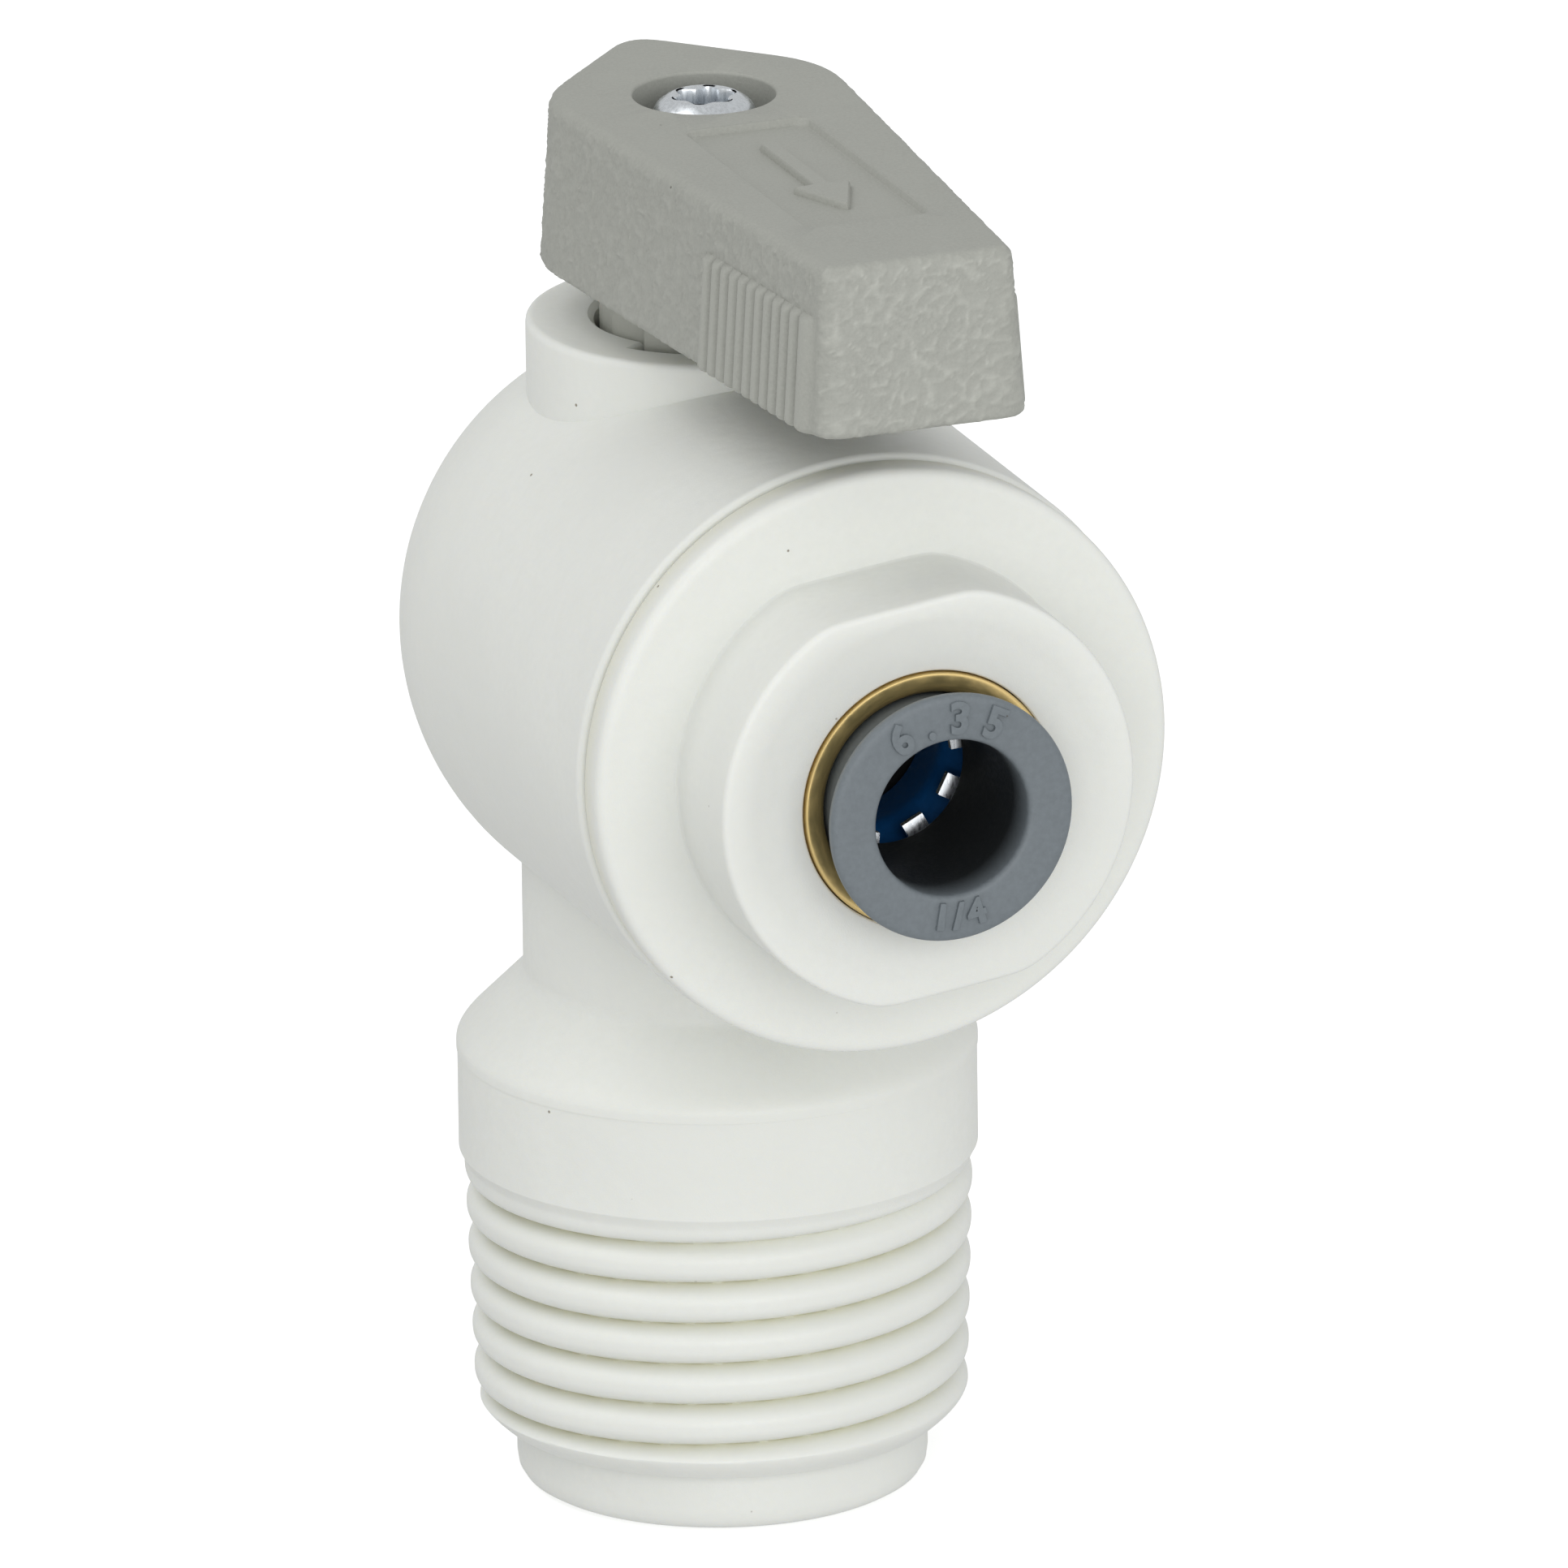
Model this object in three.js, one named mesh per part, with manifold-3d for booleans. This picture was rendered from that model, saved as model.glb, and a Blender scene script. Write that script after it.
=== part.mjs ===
// Miniature quarter-turn ball valve: a taper pipe thread below, a push-in tube port in front, and a
// small vent behind that empties the tube when the valve is shut.
// Millimetres, +Z up. The origin is on the pipe thread's axis, at the end of the spigot.
// The tube port faces -Y, and the lever turns about the same axis as the pipe thread.
import * as THREE from "three";
import { mergeVertices } from "three/addons/utils/BufferGeometryUtils.js";
import Module from "manifold-3d";

// Driving dimensions
const PORT_HEIGHT = 37.3; // height of the tube port's axis
const BARREL_R = 12.75;
const BARREL_FRONT = 18.1; // how far the barrel reaches in front of the lever's axis
const DOME_BACK_SHIFT = 1; // the rear dome's centre lies this far behind the lever's axis
const SPIGOT_R = 8.65;
const SPIGOT_LENGTH = 2.7;
const THREAD_PITCH = 1.814;
const THREAD_END_R = 10.34; // crest radius at the thread's lower end
const THREAD_DEPTH = 1.0;
const THREAD_TURNS = 6;
const COLLAR_R = 10.92;
const COLLAR_Z = [14.6, 19.6];
const NECK_R = 8.1;
const BOSS_R = 7.6;
const BOSS_TOP = 51.05;
const WELL_R = 4.75; // the well in the boss that the lever's skirt turns in
const WELL_FLOOR = 49.2;
const STOP_POCKET_R = 5.85; // the wider part of the well, where the lever's stop swings
const STOP_POCKET_START = THREE.MathUtils.degToRad(216); // counted from +X
const STOP_R = 5.25;
const STOP_WIDTH = THREE.MathUtils.degToRad(46);
const STOP_PLAY = THREE.MathUtils.degToRad(1.5); // left at each end of the quarter turn
const INLET_R = 5.9;
const VENT_R = 1.0;

const BALL_R = 7.0;
const CHAMBER_R = 7.3;
const BALL_PASSAGE_R = 2.3;
const VENT_DRILLING_R = 0.5;
const VENT_DRILLING_RISE = 3.3;
const SEAT_BORE_R = 3.9;
const SEAT_R = 5.1;
const SEAT_POCKET_R = 5.3;
const SEAT_FRONT = 5.25; // distances from the ball's centre
const SEAT_BACK = 8.0;
const POCKET_DEPTH = 9.05;

const FLANGE_R = 12.65;
const FLANGE_FRONT = 20.1;
const HUB_R = 9.1;
const HUB_FRONT = 25.4;
const HUB_FLATS = 17.1; // across the two wrench flats
const HUB_TURN = THREE.MathUtils.degToRad(7.3); // how far round the cap was left when it was screwed in
const CARTRIDGE_R = 5.55;
const SOCKET_R = 10.6; // the bore in the barrel that takes the cap
const TUBE_BORE_R = 3.35;
const TUBE_STOP = 10.9;

const STEM_R = 3.1;
const STEM_BORE_R = 3.2;
const STEM_FLANGE_R = 4.4;
const FLANGE_BORE_R = 4.6;
const FLANGE_BORE_FOOT = 5.4; // above the ball's centre, low enough for the tongue to turn
const FLANGE_Z = [44.7, 45.7];
const FLANGE_LEDGE = 46.2; // the thrust washer runs against this
const STEM_SEAL_Z = [46.95, 48.45];
const STEM_GROOVE = { r: 2.25, height: 1 };
const JOURNAL_TOP = 49.35;
const TONGUE = { thick: 2.4, wide: 8.6, above: 4.8 }; // above the ball's centre
const DRIVE_ACROSS = 4.2; // the square that drives the lever
const DRIVE_LENGTH = 5.5;
const DRIVE_MIDDLE = 52.05;
const DRIVE_PLAY = 0.2;
const SKIRT_R = 4.5;
const SKIRT_FOOT = 49.5;
const LEVER_UNDERSIDE = 53.35;
const LEVER_TOP = 60.6;
const LEVER_DRAFT = 0.5;
const LEVER_NOSE = { half: 4.15, reach: 25.0, round: 0.7 };
const LEVER_SHOULDER = { half: 6.45, reach: -2.4, round: 2.3 };
const LEVER_HEEL = { reach: -9.2, round: 1.7 };
const SCREW_WELL_R = 2.99;
const SCREW_WELL_FLOOR = 57.5;
const SCREW_HEAD_R = 2.25;
const SCREW_HEAD_Z = [58, 60.5];
const SCREW_SHANK_R = 1.25;
const LEVER_PANEL = { half: 2.8, from: 4.7, to: 19.3, depth: 0.3 };

const ROUND = 40; // facets round the large turned shapes
const MIDDLE = 32; // facets round the boss and the parts of the tube port
const FINE = 24; // facets round the small ones

// Tools for making solids
const wasm = await Module();
wasm.setup();

function solid(geometry) {
  const plain = geometry.index ? geometry.toNonIndexed() : geometry.clone();
  plain.deleteAttribute("normal");
  plain.deleteAttribute("uv");
  const merged = mergeVertices(plain, 1e-4);
  return new wasm.Manifold(
    new wasm.Mesh({
      numProp: 3,
      vertProperties: merged.attributes.position.array,
      triVerts: new Uint32Array(merged.index.array),
    }),
  );
}

function geometryOf(body) {
  const mesh = body.getMesh();
  const geometry = new THREE.BufferGeometry();
  geometry.setAttribute("position", new THREE.BufferAttribute(mesh.vertProperties, 3));
  geometry.setIndex(new THREE.BufferAttribute(mesh.triVerts, 1));
  geometry.computeVertexNormals();
  return geometry;
}

// A profile that doesn't start on the axis is a ring's, and is closed here.
function turned(profile, facets) {
  const closed = profile[0][0] === 0 ? profile : [...profile, profile[0]];
  return new THREE.LatheGeometry(closed.map(([r, along]) => new THREE.Vector2(r, along)), facets);
}

// A shape turned about the lever's axis: the profile is [radius, height].
const upright = (profile, facets = FINE) => solid(turned(profile, facets).rotateX(Math.PI / 2));

// A shape turned about the port's axis: the profile is [radius, distance in front of the lever's axis].
const portward = (profile, facets = FINE) =>
  solid(turned(profile, facets).rotateX(Math.PI).translate(0, 0, PORT_HEIGHT));

const rod = (r, from, to) => [[0, from], [r, from], [r, to], [0, to]];
const tube = (inner, outer, from, to) => [[inner, from], [outer, from], [outer, to], [inner, to]];

function box(sizeX, sizeY, sizeZ, x, y, z) {
  return solid(new THREE.BoxGeometry(sizeX, sizeY, sizeZ).translate(x, y, z));
}

function sealRing(middleR, sectionR, facets = FINE) {
  return new THREE.TorusGeometry(middleR, sectionR, 8, facets);
}

// A closed outline with rounded corners. A corner is [x, y, how far from it the rounding starts].
function roundedOutline(corners, facets) {
  const shape = new THREE.Shape();
  corners.forEach(([x, y, cut], i) => {
    const corner = new THREE.Vector2(x, y);
    const [before, after] = [corners.at(i - 1), corners[(i + 1) % corners.length]].map(([px, py]) =>
      new THREE.Vector2(px, py).sub(corner).setLength(cut).add(corner));
    if (i === 0) shape.moveTo(before.x, before.y);
    else shape.lineTo(before.x, before.y);
    shape.quadraticCurveTo(x, y, after.x, after.y);
  });
  const points = shape.getPoints(facets);
  points.pop(); // the last point repeats the first
  return points;
}

// A solid between two outlines that have the same number of points.
function loft(lower, upper, lowerZ, upperZ) {
  const n = lower.length;
  const positions = [
    ...lower.flatMap((p) => [p.x, p.y, lowerZ]),
    ...upper.flatMap((p) => [p.x, p.y, upperZ]),
  ];
  const faces = [];
  for (let i = 0; i < n; i++) {
    const j = (i + 1) % n;
    faces.push(i, j, n + j, i, n + j, n + i);
  }
  for (const [a, b, c] of THREE.ShapeUtils.triangulateShape(lower, [])) {
    faces.push(c, b, a, n + a, n + b, n + c);
  }
  const geometry = new THREE.BufferGeometry();
  geometry.setAttribute("position", new THREE.Float32BufferAttribute(positions, 3));
  geometry.setIndex(faces);
  return solid(geometry);
}

// The body: thread, neck, barrel, dome and boss in one moulding

function threadProfile() {
  const points = [];
  for (let turn = 0; turn < THREAD_TURNS; turn++) {
    const z = SPIGOT_LENGTH + turn * THREAD_PITCH;
    const crest = THREAD_END_R + (z - SPIGOT_LENGTH) / 32;
    points.push([crest - THREAD_DEPTH, z]);
    points.push([crest, z + 0.35 * THREAD_PITCH]);
    points.push([crest, z + 0.65 * THREAD_PITCH]);
  }
  return points;
}

function pipeEnd() {
  const threadTop = SPIGOT_LENGTH + THREAD_TURNS * THREAD_PITCH;
  return upright([
    [0, 0],
    [SPIGOT_R - 1, 0],
    [SPIGOT_R - 0.3, 0.3],
    [SPIGOT_R, 1],
    [SPIGOT_R, SPIGOT_LENGTH],
    ...threadProfile(),
    [COLLAR_R - 1.2, threadTop],
    [COLLAR_R, COLLAR_Z[0]],
    [COLLAR_R, COLLAR_Z[1] - 0.3],
    [COLLAR_R - 0.35, COLLAR_Z[1] + 0.4],
    [NECK_R, COLLAR_Z[1] + 2.8],
    [NECK_R, PORT_HEIGHT],
    [0, PORT_HEIGHT],
  ], ROUND);
}

function barrel() {
  const dome = [];
  for (let step = 0; step <= 10; step++) {
    const t = (step / 10) * (Math.PI / 2);
    dome.push([BARREL_R * Math.sin(t), -DOME_BACK_SHIFT - BARREL_R * Math.cos(t)]);
  }
  return portward([
    ...dome,
    [BARREL_R, BARREL_FRONT - 0.3],
    [BARREL_R - 0.3, BARREL_FRONT],
    [0, BARREL_FRONT],
  ], ROUND);
}

// Part of a ring about the lever's axis, between two angles counted from +X.
function ringSector([inner, outer], [from, to], [foot, top]) {
  const shape = new THREE.Shape();
  shape.absarc(0, 0, outer, from, to, false);
  shape.absarc(0, 0, inner, to, from, true);
  return solid(new THREE.ExtrudeGeometry(shape, {
    depth: top - foot,
    bevelEnabled: false,
    curveSegments: FINE,
  }).translate(0, 0, foot));
}

function stopPocket() {
  const end = STOP_POCKET_START + Math.PI / 2 + STOP_WIDTH + 2 * STOP_PLAY;
  return ringSector([WELL_R - 0.5, STOP_POCKET_R], [STOP_POCKET_START, end], [WELL_FLOOR, BOSS_TOP + 1]);
}

function valveBody() {
  const boss = upright([
    [0, PORT_HEIGHT],
    [BOSS_R, PORT_HEIGHT],
    [BOSS_R, BOSS_TOP - 0.3],
    [BOSS_R - 0.3, BOSS_TOP],
    [0, BOSS_TOP],
  ], MIDDLE);
  const lowerPocket = PORT_HEIGHT - POCKET_DEPTH;
  const inlet = upright([
    [0, -1],
    [INLET_R, -1],
    [INLET_R, lowerPocket - 4],
    [SEAT_BORE_R, lowerPocket - 2],
    [SEAT_BORE_R, lowerPocket],
    [SEAT_POCKET_R, lowerPocket],
    [SEAT_POCKET_R, PORT_HEIGHT],
    [0, PORT_HEIGHT],
  ]);
  const chamber = portward([
    [0, -POCKET_DEPTH],
    [SEAT_POCKET_R, -POCKET_DEPTH],
    [SEAT_POCKET_R, -CHAMBER_R],
    [CHAMBER_R, -CHAMBER_R],
    [CHAMBER_R, POCKET_DEPTH + 0.05],
    [SOCKET_R, POCKET_DEPTH + 0.05],
    [SOCKET_R, BARREL_FRONT + 1],
    [0, BARREL_FRONT + 1],
  ], ROUND);
  const vent = portward([
    [0, -BARREL_R - 3],
    [VENT_R + 1.4, -BARREL_R - 3],
    [VENT_R, -BARREL_R - 0.5],
    [VENT_R, -POCKET_DEPTH + 1],
    [0, -POCKET_DEPTH + 1],
  ], FINE);
  const stemBore = upright([
    [0, PORT_HEIGHT + FLANGE_BORE_FOOT],
    [FLANGE_BORE_R, PORT_HEIGHT + FLANGE_BORE_FOOT],
    [FLANGE_BORE_R, FLANGE_LEDGE],
    [STEM_BORE_R, FLANGE_LEDGE],
    [STEM_BORE_R, WELL_FLOOR],
    [WELL_R, WELL_FLOOR],
    [WELL_R, BOSS_TOP + 1],
    [0, BOSS_TOP + 1],
  ], MIDDLE);
  return pipeEnd().add(barrel()).add(boss)
    .subtract(inlet).subtract(chamber).subtract(vent).subtract(stemBore).subtract(stopPocket());
}

// The end cap, screwed into the barrel, and its seal

function endCap() {
  const turnedCap = portward([
    [SEAT_POCKET_R, 7.5],
    [CHAMBER_R - 0.2, 7.5],
    [CHAMBER_R - 0.2, POCKET_DEPTH + 0.1],
    [SOCKET_R - 0.25, POCKET_DEPTH + 0.1],
    [SOCKET_R - 0.25, 10.9],
    [8.75, 10.9],
    [8.75, 12.9],
    [SOCKET_R - 0.25, 12.9],
    [SOCKET_R - 0.25, BARREL_FRONT + 0.05],
    [FLANGE_R - 0.4, BARREL_FRONT + 0.05],
    [FLANGE_R, BARREL_FRONT + 0.9],
    [FLANGE_R, FLANGE_FRONT - 0.6],
    [FLANGE_R - 0.6, FLANGE_FRONT],
    [HUB_R, FLANGE_FRONT],
    [HUB_R, HUB_FRONT - 0.3],
    [HUB_R - 0.4, HUB_FRONT],
    [CARTRIDGE_R, HUB_FRONT],
    [CARTRIDGE_R, 13.2],
    [TUBE_BORE_R, 13.2],
    [TUBE_BORE_R, TUBE_STOP],
    [2.6, TUBE_STOP],
    [2.6, POCKET_DEPTH],
    [SEAT_POCKET_R, POCKET_DEPTH],
  ], ROUND);
  const cutter = 4;
  const length = HUB_FRONT - FLANGE_FRONT + 1;
  const flats = [1, -1].map((side) => {
    const block = new THREE.BoxGeometry(3 * HUB_R, length, cutter);
    block.translate(0, -FLANGE_FRONT - length / 2, side * (HUB_FLATS / 2 + cutter / 2));
    return solid(block.rotateY(-HUB_TURN).translate(0, 0, PORT_HEIGHT));
  });
  return turnedCap.subtract(flats[0]).subtract(flats[1]);
}

// The ball and its seats

function ball() {
  const sphere = solid(new THREE.SphereGeometry(BALL_R, FINE, 16).rotateX(Math.PI / 2));
  const down = solid(turned(rod(BALL_PASSAGE_R, -BALL_R - 1, 0), 16).rotateX(Math.PI / 2));
  const forward = solid(turned(rod(BALL_PASSAGE_R, 0, BALL_R + 1), 16).rotateX(Math.PI));
  const elbow = solid(new THREE.SphereGeometry(BALL_PASSAGE_R, 16, 10));
  const drilling = solid(
    turned(rod(VENT_DRILLING_R, -BALL_R - 1, BALL_R + 1), 12).rotateZ(Math.PI / 2)
      .translate(0, 0, VENT_DRILLING_RISE),
  );
  const slot = box(2.7, 3 * BALL_R, 4, 0, 0, 4.7 + 2);
  return sphere.subtract(down).subtract(forward).subtract(elbow).subtract(drilling).subtract(slot)
    .translate([0, 0, PORT_HEIGHT]);
}

function seatProfile() {
  const contactR = BALL_R + 0.3;
  const middle = (SEAT_BORE_R + SEAT_R) / 2;
  const onBall = (r) => Math.sqrt(contactR ** 2 - r ** 2);
  return [
    [SEAT_R, SEAT_FRONT],
    [SEAT_R, SEAT_BACK],
    [SEAT_BORE_R, SEAT_BACK],
    [SEAT_BORE_R, onBall(SEAT_BORE_R)],
    [middle, onBall(middle)],
  ];
}

const SEAT_BACKING = [4.5, 0.47]; // middle and section radius of the rubber ring behind each seat
const BACKING_AT = SEAT_BACK + 0.52;

// Turns a shape made along the port's axis, about the ball's centre, to face along another direction.
const FACING = {
  front: (geometry) => geometry.rotateX(Math.PI),
  rear: (geometry) => geometry,
  lower: (geometry) => geometry.rotateX(-Math.PI / 2),
};

// The tube connection: cartridge ring, grip ring, support ring and release button

function cartridgeRing() {
  const outer = CARTRIDGE_R - 0.05;
  return portward([
    [5.15, 19.85],
    [outer, 19.85],
    [outer, HUB_FRONT - 0.05],
    [outer - 0.15, HUB_FRONT + 0.1],
    [outer - 0.4, HUB_FRONT + 0.05],
    [4.85, HUB_FRONT - 0.6],
    [4.8, HUB_FRONT - 1.2],
    [4.8, 22.6],
    [5.15, 22.6],
  ], MIDDLE);
}

function gripRing() {
  const teeth = 10;
  let ring = portward(tube(4.0, 5.4, 19.45, 19.75));
  for (let i = 0; i < teeth; i++) {
    const tooth = new THREE.BoxGeometry(1, 0.28, 1.1);
    tooth.rotateX(0.2).translate(0, -19.5, 3.72);
    ring = ring.add(solid(tooth.rotateY(((i + 0.25) / teeth) * 2 * Math.PI).translate(0, 0, PORT_HEIGHT)));
  }
  return ring;
}

function sealSupportRing() {
  return portward([
    [TUBE_BORE_R, 15.75],
    [5.45, 15.75],
    [5.45, 19.4],
    [4.6, 19.4],
    [TUBE_BORE_R, 17.9],
  ]);
}

function releaseButton() {
  return portward([
    [3.4, 20.4],
    [4.45, 20.4],
    [4.45, 21.5],
    [5.0, 21.65],
    [5.0, 22.35],
    [4.45, 22.4],
    [4.45, 27.1],
    [5.1, 27.15],
    [5.32, 27.4],
    [5.32, 27.7],
    [4.95, 28.1],
    [3.75, 28.1],
    [TUBE_BORE_R, 27.6],
  ], MIDDLE);
}

// The stem, the lever and its screw

function stem() {
  const grooves = STEM_SEAL_Z.flatMap((z) => [
    [STEM_R, z - STEM_GROOVE.height / 2],
    [STEM_GROOVE.r, z - STEM_GROOVE.height / 2],
    [STEM_GROOVE.r, z + STEM_GROOVE.height / 2],
    [STEM_R, z + STEM_GROOVE.height / 2],
  ]);
  const shaft = upright([
    [0, FLANGE_Z[0]],
    [STEM_FLANGE_R, FLANGE_Z[0]],
    [STEM_FLANGE_R, FLANGE_Z[1]],
    [STEM_R, FLANGE_Z[1]],
    ...grooves,
    [STEM_R, JOURNAL_TOP],
    [0, JOURNAL_TOP],
  ]);
  const tongueZ = [PORT_HEIGHT + TONGUE.above, FLANGE_Z[0] + 0.3];
  const tongue = box(TONGUE.thick, TONGUE.wide, tongueZ[1] - tongueZ[0], 0, 0, (tongueZ[0] + tongueZ[1]) / 2);
  const square = box(DRIVE_ACROSS, DRIVE_ACROSS, DRIVE_LENGTH, 0, 0, DRIVE_MIDDLE);
  const screwHole = upright(rod(SCREW_SHANK_R + 0.1, JOURNAL_TOP - 0.95, LEVER_TOP));
  return shaft.add(tongue).add(square).subtract(screwHole);
}

const thrustWasher = () => upright(tube(STEM_BORE_R, STEM_FLANGE_R, FLANGE_Z[1] + 0.05, FLANGE_LEDGE - 0.05));

const screwWasher = () => upright(tube(1.6, 2.8, SCREW_WELL_FLOOR + 0.04, SCREW_HEAD_Z[0] - 0.04));

function leverOutline(grown) {
  const { half, reach, round } = LEVER_NOSE;
  const shoulder = LEVER_SHOULDER;
  const heel = LEVER_HEEL;
  return roundedOutline([
    [half + grown, -reach - grown, round],
    [shoulder.half + grown, -shoulder.reach, shoulder.round],
    [0, -heel.reach + grown * 1.4, heel.round],
    [-shoulder.half - grown, -shoulder.reach, shoulder.round],
    [-half - grown, -reach - grown, round],
  ], 5);
}

function underPocket(side) {
  const wall = 1.5;
  const back = 8;
  const front = LEVER_NOSE.reach - wall;
  const backHalf = 5.4 - wall;
  const frontHalf = LEVER_NOSE.half - wall;
  const corners = [[0.6, -front], [frontHalf, -front], [backHalf, -back], [0.6, -back]];
  const outline = (side > 0 ? corners : corners.map(([x, y]) => [-x, y]).reverse())
    .map(([x, y]) => new THREE.Vector2(x, y));
  return loft(outline, outline, LEVER_UNDERSIDE - 1, LEVER_TOP - 2.4);
}

function lever() {
  const edge = 0.4;
  const grip = loft(leverOutline(LEVER_DRAFT), leverOutline(0), LEVER_UNDERSIDE, LEVER_TOP - edge)
    .add(loft(leverOutline(0), leverOutline(-edge), LEVER_TOP - edge, LEVER_TOP));
  const skirt = upright(rod(SKIRT_R, SKIRT_FOOT, LEVER_UNDERSIDE + 0.5));
  const drive = DRIVE_ACROSS + DRIVE_PLAY;
  const { half, from, to, depth } = LEVER_PANEL;
  const panel = new THREE.Shape(roundedOutline([
    [half, -to, 0.5],
    [half, -from, 0.5],
    [-half, -from, 0.5],
    [-half, -to, 0.5],
  ], 3));
  const recess = solid(new THREE.ExtrudeGeometry(panel, { depth: 2, bevelEnabled: false })
    .translate(0, 0, LEVER_TOP - depth));
  return grip.add(skirt).add(leverStop())
    .subtract(box(drive, drive, DRIVE_LENGTH + 3 * DRIVE_PLAY, 0, 0, DRIVE_MIDDLE))
    .subtract(upright(rod(SCREW_SHANK_R + 0.4, DRIVE_MIDDLE, SCREW_WELL_FLOOR + 0.5)))
    .subtract(upright(rod(SCREW_WELL_R, SCREW_WELL_FLOOR, LEVER_TOP + 1)))
    .subtract(recess).subtract(underPocket(1)).subtract(underPocket(-1));
}

// The thicker part of the skirt, which swings between the two ends of the stop pocket.
function leverStop() {
  const start = STOP_POCKET_START + STOP_PLAY;
  const levels = [SKIRT_FOOT, LEVER_UNDERSIDE + 0.5];
  return ringSector([SKIRT_R - 0.5, STOP_R], [start, start + STOP_WIDTH], levels);
}

function leverScrew() {
  const [headFoot, headTop] = SCREW_HEAD_Z;
  const pin = upright([
    [0, WELL_FLOOR],
    [SCREW_SHANK_R, WELL_FLOOR],
    [SCREW_SHANK_R, headFoot],
    [SCREW_HEAD_R, headFoot],
    [SCREW_HEAD_R, headTop - 0.8],
    [SCREW_HEAD_R - 0.15, headTop - 0.4],
    [SCREW_HEAD_R - 0.5, headTop - 0.1],
    [SCREW_HEAD_R - 0.8, headTop],
    [0, headTop],
  ]);
  const lobes = new THREE.Shape();
  const points = 36;
  for (let i = 0; i < points; i++) {
    const t = (i / points) * 2 * Math.PI;
    const r = 1.12 + 0.15 * Math.cos(6 * t);
    if (i === 0) lobes.moveTo(r * Math.cos(t), r * Math.sin(t));
    else lobes.lineTo(r * Math.cos(t), r * Math.sin(t));
  }
  lobes.closePath();
  const recess = new THREE.ExtrudeGeometry(lobes, { depth: 2, bevelEnabled: false });
  return pin.subtract(solid(recess.translate(0, 0, headTop - 1.3)));
}

// Materials
const finish = (color, roughness, metalness = 0) =>
  new THREE.MeshStandardMaterial({ color, roughness, metalness });
const whitePlastic = finish(0xe6e7e1, 0.45);
const greyPlastic = finish(0xa1a39c, 0.6);
const buttonPlastic = finish(0x777c81, 0.5);
const bluePlastic = finish(0x16355e, 0.5);
const seatPlastic = finish(0xf1f1ec, 0.4);
const rubber = finish(0x1a1a1a, 0.8);
const brass = finish(0x9e8756, 0.3, 1);
const steel = finish(0xc9ccce, 0.3, 1);

// Assembly
const valve = new THREE.Group();

function put(name, geometry, material) {
  const mesh = new THREE.Mesh(geometry, material);
  mesh.name = name;
  valve.add(mesh);
  return mesh;
}

put("valve_body", geometryOf(valveBody()), whitePlastic);
put("end_cap", geometryOf(endCap()), whitePlastic);
put("ball", geometryOf(ball()), finish(0xd8d9d6, 0.2));
put("cartridge_ring", geometryOf(cartridgeRing()), brass);
put("grip_ring", geometryOf(gripRing()), steel);
put("seal_support_ring", geometryOf(sealSupportRing()), bluePlastic);
put("release_button", geometryOf(releaseButton()), buttonPlastic);
put("stem", geometryOf(stem()), whitePlastic);
put("stem_thrust_washer", geometryOf(thrustWasher()), seatPlastic);
put("lever", geometryOf(lever()), greyPlastic);
put("lever_screw", geometryOf(leverScrew()), steel);
put("screw_washer", geometryOf(screwWasher()), steel);

for (const [side, turn] of Object.entries(FACING)) {
  const seat = put(side + "_ball_seat", turn(turned(seatProfile(), FINE)), seatPlastic);
  const backing = sealRing(...SEAT_BACKING).rotateX(Math.PI / 2).translate(0, BACKING_AT, 0);
  const ring = put(side + "_seat_backing_ring", turn(backing), rubber);
  seat.position.z = PORT_HEIGHT;
  ring.position.z = PORT_HEIGHT;
}

const capSeal = put("cap_seal_ring", sealRing(9.66, 0.86, ROUND).rotateX(Math.PI / 2), rubber);
capSeal.position.set(0, -11.9, PORT_HEIGHT);
const tubeSeal = put("tube_seal_ring", sealRing(4.32, 1.08).rotateX(Math.PI / 2), rubber);
tubeSeal.position.set(0, -14.5, PORT_HEIGHT);
["lower", "upper"].forEach((place, i) => {
  const ring = put(place + "_stem_seal_ring", sealRing(2.725, 0.45), rubber);
  ring.position.z = STEM_SEAL_Z[i];
});

export default valve;
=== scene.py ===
"""The looks of a miniature three way valve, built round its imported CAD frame."""

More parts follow.
